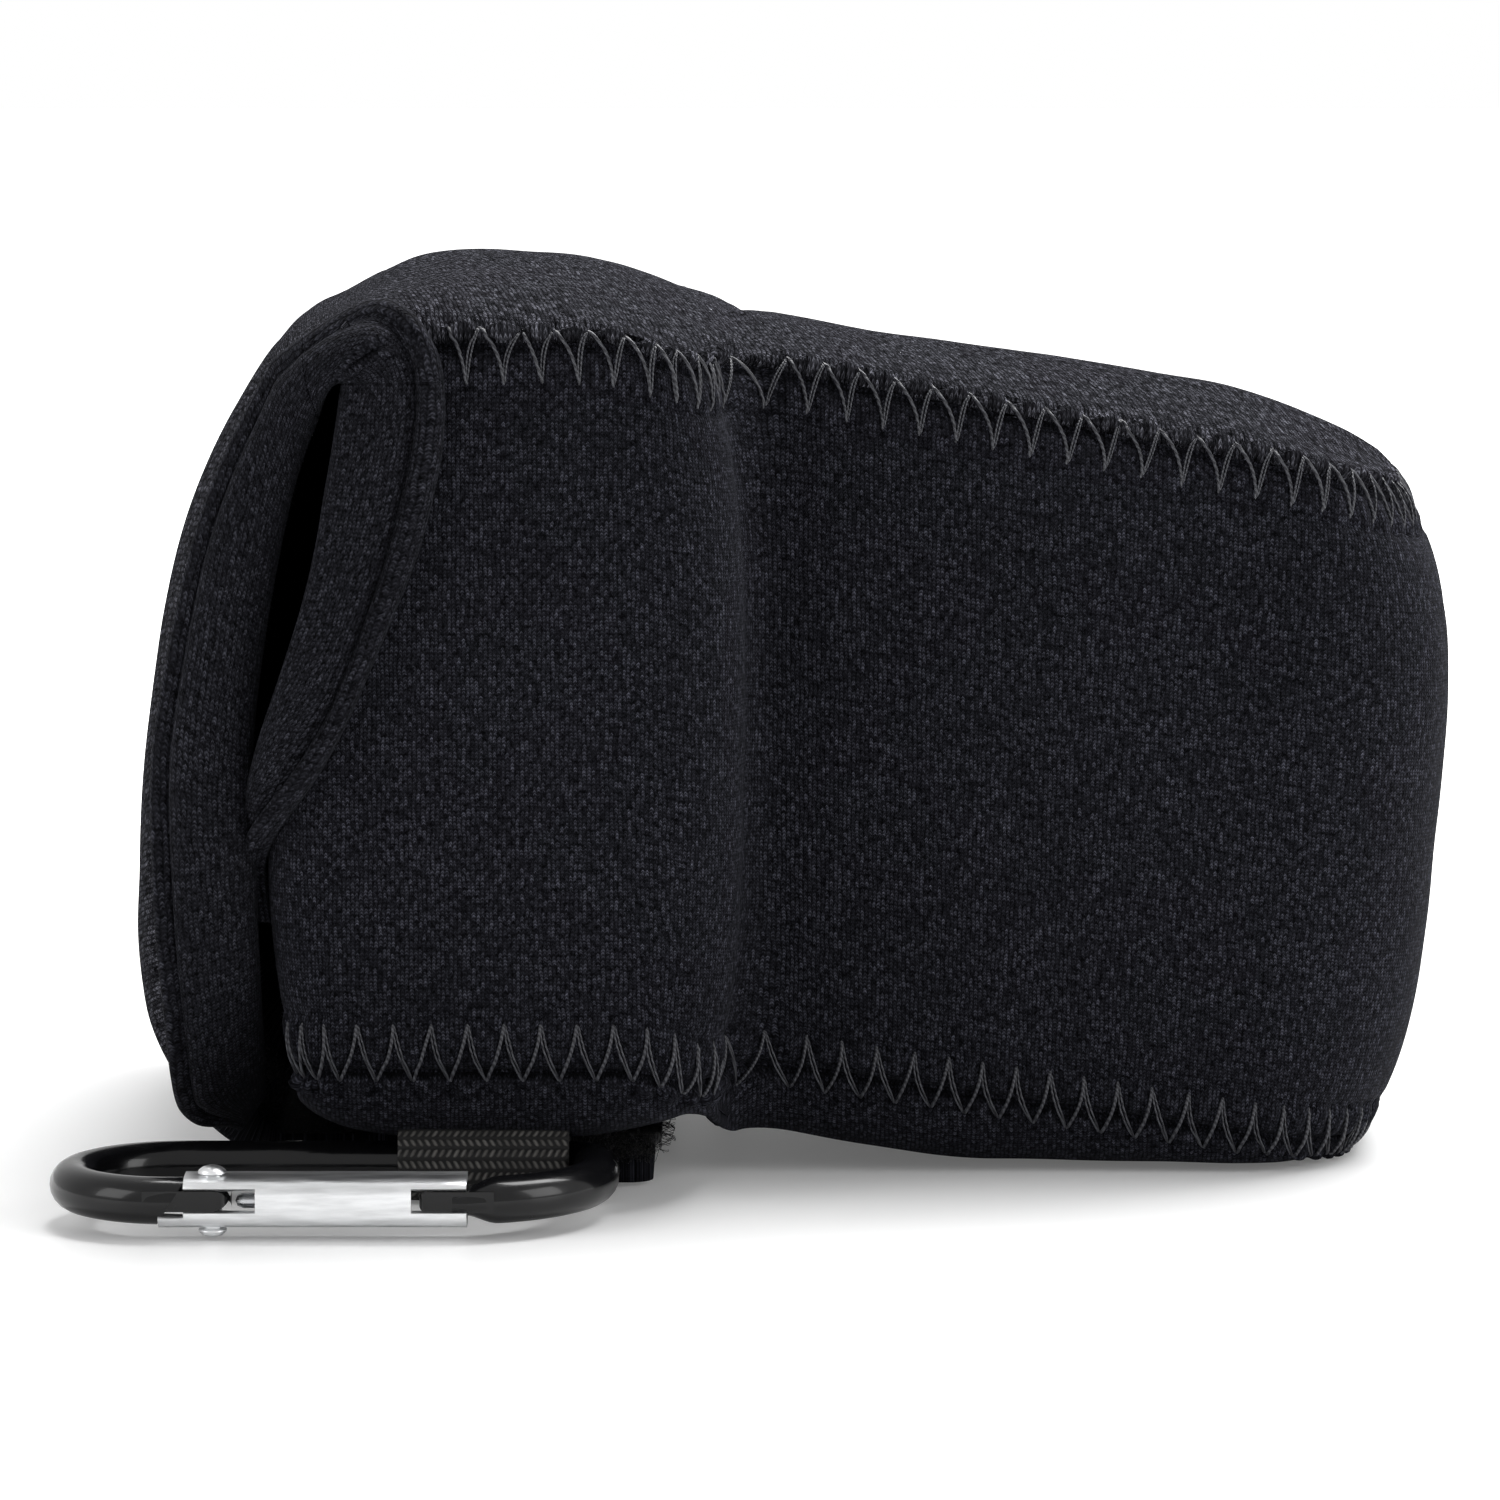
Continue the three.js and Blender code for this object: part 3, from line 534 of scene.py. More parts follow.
# Rows of the panel bow: straight across in its middle, and square to the seam at its sides. A
# panel first rises upright from its seam, and then rounds over to its middle.
def panel_point(along, across, share, top=True):
    point = outline(along)[0]
    edge = seam_point(along, top)
    edge.x -= nose_lean(point.x, 1 if top else 0)
    reach = abs(across) ** 3
    middle = hinge_x + (front_x - hinge_x) * share
    flat_x = middle + (edge.x - middle) * reach
    x = flat_x + nose_lean(point.x * reach + middle * (1 - reach), 1 if top else 0)
    if top:
        front_fall = math.sqrt(1 - min(max((along - top_end + 3) / 3, 0), 0.99) ** 2)
        full = (crown_height(x) - edge.z) * front_fall
        upright = min(1.3, 0.3 * full)
        rounded = crown_share(across, x)
    else:
        full = floor_height(x) + floor_corner(across, x) - edge.z
        upright = max(-1.6, 0.5 * full)
        rounded = max(0, 1 - abs(across) ** 9) ** (1 / 2.6)
    rise = upright * math.sqrt(max(0, 1 - abs(across) ** 70)) + (full - upright) * rounded
    return Vector((x, min(edge.y, -0.01) * -across, edge.z + rise * front_rounding(flat_x)))


def flap_width(t):
    upper = flap_half_top + (flap_half - flap_half_top) * blend_in(t, 0, 0.2)
    return upper + (flap_half_foot - upper) * blend_in(t, 0.6, 1)


def flap_square(t):
    return 3.4 + 5.6 * blend_in(t, 0.5, 1)


def flap_point(t, across):
    centre, edge = smooth_line(flap_centre, t), smooth_line(flap_edge, t)
    square = flap_square(t)
    share = max(0, 1 - abs(across) ** square) ** (1 / square)
    start = blend_in(t, 0, 0.12)
    low = Vector((hinge_x, 101.8)).lerp(edge, start)
    share = crown_share(across, -16) * (1 - start) + share * start
    place = low.lerp(centre, share)
    return Vector((place.x, flap_width(t) * across, place.y))


top_seam_points = seam_points(True)
hinge_along = 22.4
flap_length = 130.0
top_length = 131.5
seam_influence = 9
no_seam = 99


def top_place(u, v):
    across = math.sin((v - 0.5) * math.pi)
    run = u * (flap_length + top_length) - flap_length
    if run < 0:
        point = flap_point(-run / flap_length, across)
        fallen = math.copysign((1 - abs(across) ** 3) ** 0.5 * 3 - 3, -point.y)
        return point, (run + hinge_x + 0.14 * point.y, point.y + fallen, 0, no_seam, point.x, point.y)
    share = run / top_length
    point = panel_point(hinge_along + (top_end - hinge_along) * share, across, share)
    fallen = math.copysign(max(0, crown_height(point.x) - point.z), point.y)
    along, gap = seam_distance(top_seam_points, point)
    return point, (point.x + 0.14 * point.y, point.y + fallen, along, gap, point.x, point.y)


# Beside the nose the cloth is drawn into a fold that runs from corner to corner across the panel.
def top_relief(u, v, along, gap, x, y):
    front = 1 - blend_in(along, outline_length - 34, outline_length - 10)
    relief = slack(Vector((u, v, 0)), 0.55)
    outward = min(abs(y) / 46, 1.25)
    off_fold = (x - 28.5 - 4.5 * outward) / (1.5 + 1.2 * outward)
    relief -= (0.35 + 0.75 * outward) * math.exp(-(off_fold**2))
    ripple = math.sin(x * 1.1 + 0.35 * y) * math.exp(-(((x - 30) / 9) ** 2))
    relief += 0.3 * outward * ripple * blend_in(outward, 0.4, 1)
    if gap < seam_influence:
        relief += blend_in(along, 30, 34) * stitched(along, gap, 1, 0.85, stitch_up) * (0.25 + 0.75 * front)
    return relief


top_sheet = cloth_piece("top_cloth", 360, 120, top_place, top_relief)
# The top sheet's knit is painted lighter than the band's: a painted sheen for the light its fuzz catches on
# the crown and flap, with its real sheen turned down.
top_neoprene_painted_sheen = knit_material(
    "neoprene_top_knit_painted_sheen", (0.0305, 0.0308, 0.0365), 0.52, 0.9, 0.8, 4.2, drawn_out=5, veil=0.003,
)
dress(top_sheet, top_neoprene_painted_sheen)
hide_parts("top_panel", "rear_flap")
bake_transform(top_sheet)

# Bottom panel: the same cloth, sewn to the band's lower edge. It hangs as a shallow tray under
# the camera's body, rises beside the tab and lies flat on the table at the nose.
bottom_seam_points = seam_points(False)
bottom_end = outline_length - 6


def bottom_place(u, v):
    across = math.sin((v - 0.5) * math.pi)
    along = 1 + (bottom_end - 1) * u
    share = -0.06 + 1.06 * u
    point = panel_point(along, across, share, False)
    fallen = math.copysign(max(0, point.z - floor_height(point.x)), point.y)
    return point, (point.x, point.y + fallen, *seam_distance(bottom_seam_points, point), point.z)


def bottom_relief(u, v, along, gap, height):
    relief = slack(Vector((u, v, 90)), 0.4)
    puff = 1.15 - 0.4 * blend_in(along, 55, 75)
    if gap < seam_influence:
        relief += stitched(along, gap, 1, puff, 1.9) * blend_in(along, 3, 10)
    return min(relief, max(height, 0) + 0.15)


bottom_sheet = cloth_piece("bottom_cloth", 280, 110, bottom_place, bottom_relief, turn_over=True)

# The table presses the cloth's lowest points flat.
table_press = -0.0002
for corner in bottom_sheet.data.vertices:
    corner.co.z = max(corner.co.z, table_press)
dress(bottom_sheet, neoprene)
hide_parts("bottom_panel")
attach(bottom_sheet, "case")


# Edge binding: one folded strip of knit tape on each side. It runs up the slanted edge of the
# band with a piped ridge along its inner side, turns over beside the hinge and runs down the flap.
tape_lip = [(3.2, -4.5), (0.6, -4.95), (-1.2, -4.3), (-1.95, -2.4), (-1.6, -0.3), (-0.4, 1.25)]
case_profile = tape_lip + [
    (2.2, 2.1), (5, 2.15), (7.2, 1.6), (8.3, 0.7), (8.75, 0.1),
    (9.2, 0.9), (9.9, 2.2), (10.8, 2.4), (11.5, 1.5), (11.8, 0.1),
]
flap_profile = tape_lip + [
    (1.8, 1.95), (3.8, 2.05), (5.6, 1.75), (6.4, 1.1), (6.9, 0.45),
    (7.3, 0.95), (7.8, 1.5), (8.2, 1.55), (8.55, 1.0), (8.7, 0.05),
]
case_ridge = 8.75
case_reach, flap_reach = 11.8, 8.7
case_start, case_end = 0.2, 0.95
flap_start, flap_end = 0.115, 0.87
profile_steps = 300
turns_in = 27
tape_knit = knit_material("tape_knit", (0.0152, 0.0155, 0.0195), 0.6, 0.5, 0.16, 2.2)


# The profile is walked at an even pace, so that the knit keeps its size over the ridge.
def paced(points):
    steps = [smooth_line(points, k / profile_steps) for k in range(profile_steps + 1)]
    walked = [0]
    for a, b in zip(steps, steps[1:]):
        walked.append(walked[-1] + (b - a).length)
    return steps, walked


def walk(profile, v):
    steps, walked = profile
    goal = v * walked[-1]
    k = max(i for i in range(profile_steps) if walked[i] <= goal)
    return steps[k].lerp(steps[k + 1], min((goal - walked[k]) / (walked[k + 1] - walked[k]), 1))


case_steps, flap_steps = paced(case_profile), paced(flap_profile)


def profile_point(v, towards_flap):
    return walk(case_steps, v).lerp(walk(flap_steps, v), towards_flap)


def case_binding(u, v, side):
    x, y = profile_point(v, 0)
    share = case_start + (case_end - case_start) * u
    height = wall_height(share)
    widened = 0.1 * blend_in(height, 66, 90) - 0.1 * blend_in(height, 93, 101)
    widened -= 0.1 * (1 - blend_in(height, 42, 52))
    full = 0.72 + 0.34 * blend_in(height, 62, 80) - 0.14 * blend_in(height, 88, 97)
    flat_part = min(max(x, 0), case_ridge) * (0.68 + widened)
    along = opening_edge(height) + min(x, 0) + flat_part + max(x - case_ridge, 0) * full
    point = band_point(max(along, 0), share)
    out = outline(max(along, 0))[1]
    soft = y + 0.35 * noise.noise(Vector((x * 0.12, height * 0.07, 3 * side))) * (1 if y > 0 else 0)
    point += Vector((out.x, out.y, 0)) * soft
    return Vector((point.x, point.y * -side, point.z)), (v * turns_in, height)


# The flap's tape narrows and flattens towards its lower end.
def flap_binding(u, v, side):
    t = flap_start + (flap_end - flap_start) * u
    x, y = profile_point(v, 1)
    y *= 1 - 0.75 * blend_in(t, 0.79, flap_end)
    centre, edge = smooth_line(flap_centre, t), smooth_line(flap_edge, t)
    reach = (edge - centre).length
    away = (edge - centre).normalized()
    square = flap_square(t)
    narrow = 1 if side < 0 else 0.5 + 0.5 * blend_in(t, 0.15, 0.4)
    hold = 0.74 + 0.18 * blend_in(t, 0.12, 0.36)
    narrow *= 1 - 0.45 * blend_in(t, 0.76, flap_end)
    c = max(x, 0) * min(1 / reach, hold / flap_reach) * narrow
    s = (1 - c**square) ** (1 / square)
    on = flap_point(t, s * side)
    slope = Vector((c ** (square - 1) / reach, s ** (square - 1) / flap_width(t))).normalized()
    soft = y + 0.35 * noise.noise(Vector((x * 0.12, t * 9, 7 * side))) * (1 if y > 0 else 0)
    back = slope.x * soft + min(x, 0)
    point = Vector((on.x - away.x * back, on.y + side * slope.y * soft, on.z - away.y * back))
    return point, (v * turns_in, 100 - u * 104)


# Where the tape turns over beside the hinge, its ridge rises onto the crown, and its inner side is
# gathered into a tuck above the slot.
turn_inner = [
    (-13.5, 97.3), (-13.9, 98.0), (-14.8, 98.4), (-15.9, 98.3), (-17.1, 97.6), (-18.2, 96.5), (-19.2, 95.1),
]
turn_ridge = [
    (-4.4, 97.3), (-4.9, 100.2), (-6.6, 103.0), (-9.4, 104.9), (-13, 105.5), (-17, 105.0), (-20.6, 103.6),
]


def turned_binding(u, v, side, joined=True):
    x, y = profile_point(v, u)
    across = x / (case_reach + (flap_reach - case_reach) * u)
    flat = smooth_line(turn_inner, u).lerp(smooth_line(turn_ridge, u), max(across, 0))
    rise = blend_in(u, 0.03, 0.5)
    if across < 0:
        edge = math.radians(-6 + 101 * u)
        flat += Vector((math.cos(edge), math.sin(edge))) * x
    elif side > 0:
        flat.y -= 2.4 * across * rise
    tuck = math.exp(-(((u - 0.5 + 0.24 * across) / 0.055) ** 2))
    tuck *= math.exp(-((max(across, 0) / 0.5) ** 4))
    gather = 0.3 * math.sin(16 * u + 0.6) * math.exp(-(((across - 0.12) / 0.25) ** 2))
    gather *= math.sin(math.pi * u)
    lift = (y + gather) * (1 if side < 0 else 0.8) - 2.7 * tuck * (1 if y > -2 else 0.3)
    roll = 1.25 * max(across, 0) ** 2 * rise
    depth = 63.6 - 7 * max(across, 0) ** 4 * blend_in(u, 0.2, 0.7) + lift * math.cos(roll)
    turned = Vector((flat.x, side * depth, flat.y + lift * math.sin(roll)))
    if 0 < u < 1:
        start, end = case_binding(1, v, side)[0], flap_binding(0, v, side)[0]
        turned += (start - turned_binding(0, v, side, False)[0]) * (1 - blend_in(u, 0, 0.5))
        turned += (end - turned_binding(1, v, side, False)[0]) * blend_in(u, 0.5, 1)
    elif joined:
        turned = case_binding(1, v, side)[0] if u == 0 else flap_binding(0, v, side)[0]
    return turned, (v * turns_in, 97 + u * 17)


tape_runs = [
    ("case_tape", case_binding, 130), ("turn_tape", turned_binding, 96), ("flap_binding", flap_binding, 170),
]
tape_rows = 72
tape_thickness = 0.5
for side, name in ((-1, "near"), (1, "far")):
    for part, shape, columns in tape_runs:
        piece = cloth_piece(
            f"{part}_{name}", columns, tape_rows, lambda u, v: shape(u, v, side),
            turn_over=side > 0, thickness=tape_thickness,
        )
        dress(piece, tape_knit)
        if part == "case_tape":
            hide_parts(f"opening_tape_{name}")
            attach(piece, "case")
        elif part == "flap_binding":
            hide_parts(f"flap_tape_{name}")
            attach(piece, "flap")
        else:
            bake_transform(piece)


# Seam thread: a zigzag that spans the joint between the band and each panel. One leg of every
# stitch is a twisted cord, and the other shows its two plies side by side.
cord_radius, ply_radius = 0.21, 0.115
cord_lift, ply_lift = 0.26, 0.17
ply_offset = 0.2
stitch_bow = 0.45
leg_points = 10


def panel_hole(along, top):
    out = outline(along)[1]
    down = -1.0 - 1.4 * blend_in(outline(along)[0].x, 20, 36)
    return seam_point(along, top) + Vector((-0.5 * out.x, -0.5 * out.y, 2.5 if top else down))


def band_hole(along, top):
    reference = outline(along)[0].x
    reach = stitch_down if top else lower_reach(reference)
    down = reach / (top_seam(reference) - bottom_seam(reference))
    return band_point(along, 1 - down if top else down)


def on_cloth(skins, point):
    found = [skin.find_nearest(point * mm) for skin in skins]
    spot, normal, _, _ = min(found, key=lambda hit: hit[3])
    return spot * 1000, normal


# A leg of a stitch from hole to hole, bowed sideways and lifted clear of the cloth.
def stitch_leg(skins, start, end, bow, clear, across):
    a, normal_a = on_cloth(skins, start)
    b, normal_b = on_cloth(skins, end)
    out = (normal_a + normal_b).normalized()
    sideways = (b - a).cross(out).normalized()
    leg = []
    for k in range(leg_points):
        t = k / (leg_points - 1)
        rise = math.sin(math.pi * t) ** 0.6
        point = a.lerp(b, t) + out * (0.75 * rise - 0.35 * (1 - rise))
        point += sideways * (bow * math.sin(math.pi * t) + across * rise)
        spot, normal = on_cloth(skins, point)
        if 0 < t < 1 and (point - spot).dot(normal) < clear * rise:
            point = spot + normal * clear * rise
        leg.append(point)
    return leg


def thread_piece(name, legs, radius, roundness=2):
    yarn = bpy.data.curves.new(name, "CURVE")
    yarn.dimensions = "3D"
    yarn.bevel_depth = radius * mm
    yarn.bevel_resolution = roundness
    yarn.use_fill_caps = True
    for leg in legs:
        line = yarn.splines.new("POLY")
        line.points.add(len(leg) - 1)
        for place, point in zip(line.points, leg):
            place.co = (*(point * mm), 1)
    drawn = bpy.data.objects.new(name, yarn)
    bpy.context.scene.collection.objects.link(drawn)
    shaped = shaped_mesh(drawn)
    bpy.data.objects.remove(drawn)
    for face in shaped.polygons:
        face.use_smooth = True
    thread = bpy.data.objects.new(name, shaped)
    bpy.context.scene.collection.objects.link(thread)
    return thread


# A scale of tones from one colour to another.
def tones(tree, share, first, last, start=0, end=1):
    ramp = add_node(tree, "ValToRGB", {"Fac": share})
    for step, colour, position in zip(ramp.color_ramp.elements, (first, last), (start, end)):
        step.color = (*colour, 1)
        step.position = position
    return ramp.outputs["Color"]


def satin_thread():
    material, tree, shader = new_material("satin_thread")
    place = add_node(tree, "TexCoord", {})
    spun = {"Vector": place.outputs["Object"], "Scale": 900, "Distortion": 2.5, "Detail": 2}
    plies = add_node(tree, "TexWave", spun, wave_type="BANDS", bands_direction="DIAGONAL").outputs["Fac"]
    # The plies are painted in dark and light bands along the twist: a painted highlight on each ply's crest.
    painted_ply_highlight = tones(tree, plies, (0.012, 0.012, 0.016), (0.068, 0.07, 0.08))
    join(tree, shader, {"Base Color": painted_ply_highlight, "Roughness": 0.45, "Specular IOR Level": 0.35})
    fine_relief(tree, shader, plies, 0.6, 0.0001)
    return material


thread_sheen = satin_thread()

for top, sheet, node in ((True, top_sheet, "top_seam_thread"), (False, bottom_sheet, "bottom_seam_thread")):
    skins = (outer_skins["side_cloth"], outer_skins[sheet.name])
    first = 8 if top else 2
    cords, plies_legs = [], []
    for side in (1, -1):
        for stitch in range(first, int(outline_length / stitch_pitch)):
            upper, next_upper = (panel_hole((stitch + k) * stitch_pitch, top) for k in (0, 1))
            lower = band_hole((stitch + 0.5) * stitch_pitch, top)
            upper, next_upper, lower = (Vector((p.x, p.y * side, p.z)) for p in (upper, next_upper, lower))
            bow = -stitch_bow * (side if top else -side)
            cords.append(stitch_leg(skins, upper, lower, bow, cord_lift, 0))
            for across in (-ply_offset, ply_offset):
                plies_legs.append(stitch_leg(skins, lower, next_upper, bow, ply_lift, across))

    # One stitch closes the seam at the middle of the nose's front.
    last_hole = panel_hole(int(outline_length / stitch_pitch) * stitch_pitch, top)
    front_hole = band_hole(outline_length, top)
    front_hole.y = 0
    cords.append(stitch_leg(skins, last_hole, front_hole, 0, cord_lift, 0))
    last_hole = Vector((last_hole.x, -last_hole.y, last_hole.z))
    for across in (-ply_offset, ply_offset):
        plies_legs.append(stitch_leg(skins, front_hole, last_hole, 0, ply_lift, across))
    cord = thread_piece(f"{node}_cord", cords, cord_radius)
    ply = thread_piece(f"{node}_plies", plies_legs, ply_radius)
    for piece in (cord, ply):
        dress(piece, thread_sheen)
        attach(piece, "case")
    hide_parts(node)


# Closure tab: cloth that carries on from the flap under the case and ends in a wider crossbar.
# Its cut edges are plain and show the thickness of the foam.
tab_thickness = 3.2
tab_half, crossbar_reach = 29, 46
crossbar_start, crossbar_end = 11, 20


def crossbar_half(x, trim, corner):
    low, high = crossbar_start + trim, crossbar_end - trim
    if x < low:
        return tab_half - trim
    short = max(0, corner - (x - low), corner - (high - x))
    return crossbar_reach - trim - corner + math.sqrt(max(0, corner**2 - short**2))


# Its columns crowd at the crossbar, so that the step and the round corners come out sharp.
def tab_columns(start, trim, corner):
    low, high = crossbar_start + trim, crossbar_end - trim
    narrow = [start + (low - 0.05 - start) * k / 54 for k in range(55)]
    first = [low + corner * (1 - math.cos(math.pi * k / 16)) for k in range(9)]
    middle = [low + corner + (high - low - 2 * corner) * k / 8 for k in range(1, 8)]
    last = [high - corner * (1 - math.sin(math.pi * k / 16)) for k in range(9)]
    return narrow + first + middle + last


def flat_cloth(name, start, trim, corner, under, thickness, sag):
    xs = tab_columns(start, trim, corner)
    last = len(xs) - 1

    def place(u, v):
        x = xs[round(u * last)]
        y = crossbar_half(x, trim, corner) * math.sin((v - 0.5) * math.pi)
        return Vector((x, y, under)), (x, y)

    return cloth_piece(name, last, 84, place, lambda u, v: slack(Vector((u, v, 60)), sag), True, thickness)


tab_sheet = flat_cloth("tab_cloth", -26.6, 0, 3, 0.15, tab_thickness - 0.2, 0.14)
dress(tab_sheet, neoprene)
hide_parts("closure_tab")
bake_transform(tab_sheet)


# Hook-and-loop tape: hooks on the tab's upper face, and looped pile on the underside of the case.
# The pile is black, catches almost no light and frays into loose fibre loops at its edges.
def black_pile():
    material, tree, shader = new_material("black_pile")
    place = add_node(tree, "TexCoord", {})
    tufts = add_node(tree, "TexVoronoi", {"Vector": place.outputs["Object"], "Scale": 1400})
    tufts = tufts.outputs["Distance"]
    # Each tuft is painted lighter at its middle and darker towards its rim, a painted shade where the pile
    # sinks between tufts.
    tone = tones(tree, tufts, (0.016, 0.016, 0.018), (0.003, 0.003, 0.0035))
    join(tree, shader, {
        "Base Color": tone, "Roughness": 0.9, "Specular IOR Level": 0.1, "Sheen Weight": 0.12,
    })
    fine_relief(tree, shader, tufts, 1, 0.0004, invert=True)
    return material


pile_black = black_pile()

hook_tape = flat_cloth("hook_tape", -18, 1, 2, 3.28, 0.8, 0.06)
loop_tape = flat_cloth("loop_tape", -18, -1, 3, 4.85, 1.2, 0.1)
for tape, body, node in ((hook_tape, "tab", "hook_patch"), (loop_tape, "case", "loop_patch")):
    dress(tape, pile_black)
    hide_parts(node)
    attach(tape, body)


# A loose fibre leaves the tape's edge, rises and curls back to it.
def fibre_loop(start, out, seed):
    reach = 0.6 + 1.7 * (0.5 + 0.5 * math.sin(seed * 7.31)) ** 2
    along = Vector((-out.y, out.x, 0)) * (0.5 + 0.9 * math.sin(seed * 3.7))
    rise = Vector((0, 0, 0.9 * math.sin(seed * 5.13)))
    places = []
    for k in range(8):
        t = k / 7
        loop = math.sin(math.pi * t)
        curl = Vector((0, 0, 0.25 * math.sin(9 * t + seed)))
        places.append(start + out * reach * loop + along * (t - 0.5) * (1 + loop) + rise * loop + curl)
    return places


# The fibres stand by turns on the crossbar's long edge and on its two ends.
fibre_count = 900
fibres = []
for k in range(fibre_count):
    walk_on = (k * 0.6180339) % 1
    z = 3.6 + 2.4 * ((k * 0.7548777) % 1)
    if k % 3 == 0:
        start, out = Vector((20.3, -44 + 88 * walk_on, z)), Vector((1, 0, 0))
    elif k % 3 == 1:
        start, out = Vector((12 + 8 * walk_on, -46.3, z)), Vector((0, -1, 0))
    else:
        start, out = Vector((12 + 8 * walk_on, 46.3, z)), Vector((0, 1, 0))
    fibres.append(fibre_loop(start, out, k * 1.37))
loose_fibres = thread_piece("loose_fibres", fibres, 0.03, 1)
dress(loose_fibres, pile_black)
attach(loose_fibres, "case")


# Webbing: a woven strap sewn flat under the case. It comes out towards the near edge, drops round
# the snap hook's bar and comes back to its own sewn end.
weave_pitch = 1.15
weave_column = 0.85


def webbing_material():
    material, tree, shader = new_material("black_webbing")
    calc = calculator(tree)
    chart = add_node(tree, "UVMap", {}, uv_map="cloth")
    split = add_node(tree, "SeparateXYZ", {"Vector": chart.outputs["UV"]})
    row = calc("MULTIPLY", split.outputs["Y"], chart_scale / weave_pitch)
    turn = calc("FLOORED_MODULO", calc("FLOOR", row), 2)
    slant = calc("SUBTRACT", calc("MULTIPLY", turn, 2), 1)
    up = calc("SUBTRACT", calc("FRACT", row), 0.5)
    leaning = calc("MULTIPLY", slant, calc("MULTIPLY", up, 0.75))
    column = calc("ADD", calc("MULTIPLY", split.outputs["X"], chart_scale / weave_column), leaning)
    side = calc("SUBTRACT", calc("FRACT", column), 0.5)
    off_middle = calc("POWER", calc("MULTIPLY", side, 2.9), 2)
    off_middle = calc("ADD", off_middle, calc("POWER", calc("MULTIPLY", up, 2.6), 4))
    bead = calc("MAXIMUM", calc("SUBTRACT", 1, off_middle), 0)
    chance = stitch_chance(tree, column, row)
    shine = calc("MULTIPLY", bead, calc("ADD", calc("MULTIPLY", chance, 0.6), 0.5))
    tone = tones(tree, shine, (0.007, 0.0068, 0.007), (0.13, 0.125, 0.118))
    fine_relief(tree, shader, bead, 0.8, 0.0003)
    join(tree, shader, {"Base Color": tone, "Roughness": 0.6, "Specular IOR Level": 0.25})
    return material


webbing_weave = webbing_material()
loop_way = [
    (-50.2, 5.3), (-52.6, 5.9), (-55, 7.9), (-57.4, 9.6), (-59.3, 9.2), (-60.15, 7.2), (-60.35, 4.4),
    (-59.2, 1.5), (-56.9, 0.05), (-54.2, 0.45), (-52.2, 2.4), (-51.4, 3.5), (-50.2, 3.95),
]
end_way = [(-42.6, 4.9), (-45, 4.9), (-48, 4.9), (-51.2, 4.9)]
webbing_half = 10.1
webbing_x = 0.2
webbing_thickness = 1.15


# Each row of the weave stands out a little, and the strap thins towards its woven edges.
def webbing_strap(name, way):
    length = sum((Vector(a) - Vector(b)).length for a, b in zip(way, way[1:]))

    def place(u, v):
        x = webbing_x + webbing_half * (2 * v - 1)
        point = smooth_line(way, u)
        return Vector((x, point.x, point.y)), (x, u * length)

    def relief(x, run):
        edge = 0.25 * (abs(x - webbing_x) / webbing_half) ** 12
        return 0.09 * math.cos(2 * math.pi * run / weave_pitch) - edge

    strap = cloth_piece(name, 150, 40, place, relief, thickness=webbing_thickness)
    dress(strap, webbing_weave)
    return strap


strap_loop = webbing_strap("webbing_strap", loop_way)
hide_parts("webbing_loop")
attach(strap_loop, "loop")
strap_end = webbing_strap("webbing_end", end_way)
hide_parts("webbing_anchor")
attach(strap_end, "case")


# Snap hook's ring: a round aluminium bar bent to a flat ring and coated gloss black. Its two ends
# are milled to flat tongues, one for the rivet and one that catches the gate.
bar_radius = 2.75
sharp_angle = math.radians(38)
ring_level = 4.2
spine_y, gate_y = -56.0, -80.5


def arc(centre, radius, start, end, steps):
    turned = []
    for k in range(steps + 1):
        angle = math.radians(start + (end - start) * k / steps)
        x, y = centre[0] + radius * math.cos(angle), centre[1] + radius * math.sin(angle)
        turned.append(Vector((x, y, ring_level)))
    return turned


ring_way = [Vector((-32.6, gate_y, ring_level)), Vector((-33.6, gate_y, ring_level))]
ring_way += arc((-35.1, -68.25), 12.25, 270, 90, 44)
ring_way += [Vector((x, spine_y, ring_level)) for x in (-30, -20, -10, 0, 6)]
ring_way += arc((9.35, -60.2), 4.2, 90, 0, 14)
ring_way += arc((-2.45, -64.5), 16, 0, -88, 30)
ring_way += [Vector((-2.6, gate_y, ring_level))]
ring_bar = thread_piece("ring_bar", [ring_way], bar_radius, 9)


def reshaped(piece, change):
    mesh = bmesh.new()
    mesh.from_mesh(piece.data)
    bmesh.ops.scale(mesh, verts=mesh.verts, vec=(1000, 1000, 1000))
    change(mesh)
    bmesh.ops.recalc_face_normals(mesh, faces=mesh.faces)
    for edge in mesh.edges:
        edge.smooth = len(edge.link_faces) == 2 and edge.calc_face_angle() < sharp_angle
    for face in mesh.faces:
        face.smooth = True
    bmesh.ops.scale(mesh, verts=mesh.verts, vec=(mm, mm, mm))
    mesh.to_mesh(piece.data)
    mesh.free()


# A flat tongue with a rounded end, standing out of the bar's cut end.
def tongue(mesh, start, end, low, high, depth, rounding):
    made = bmesh.ops.create_cube(mesh, size=1)["verts"]
    bmesh.ops.scale(mesh, verts=made, vec=(abs(end - start), depth, high - low))
    bmesh.ops.translate(mesh, verts=made, vec=((start + end) / 2, gate_y - 0.1, (low + high) / 2))
    edges = {edge for corner in made for edge in corner.link_edges}
    tip = [edge for edge in edges if all(abs(corner.co.x - end) < 0.01 for corner in edge.verts)]
    bmesh.ops.bevel(mesh, geom=tip, offset=rounding, segments=9, profile=0.5, affect="EDGES", material=-1)


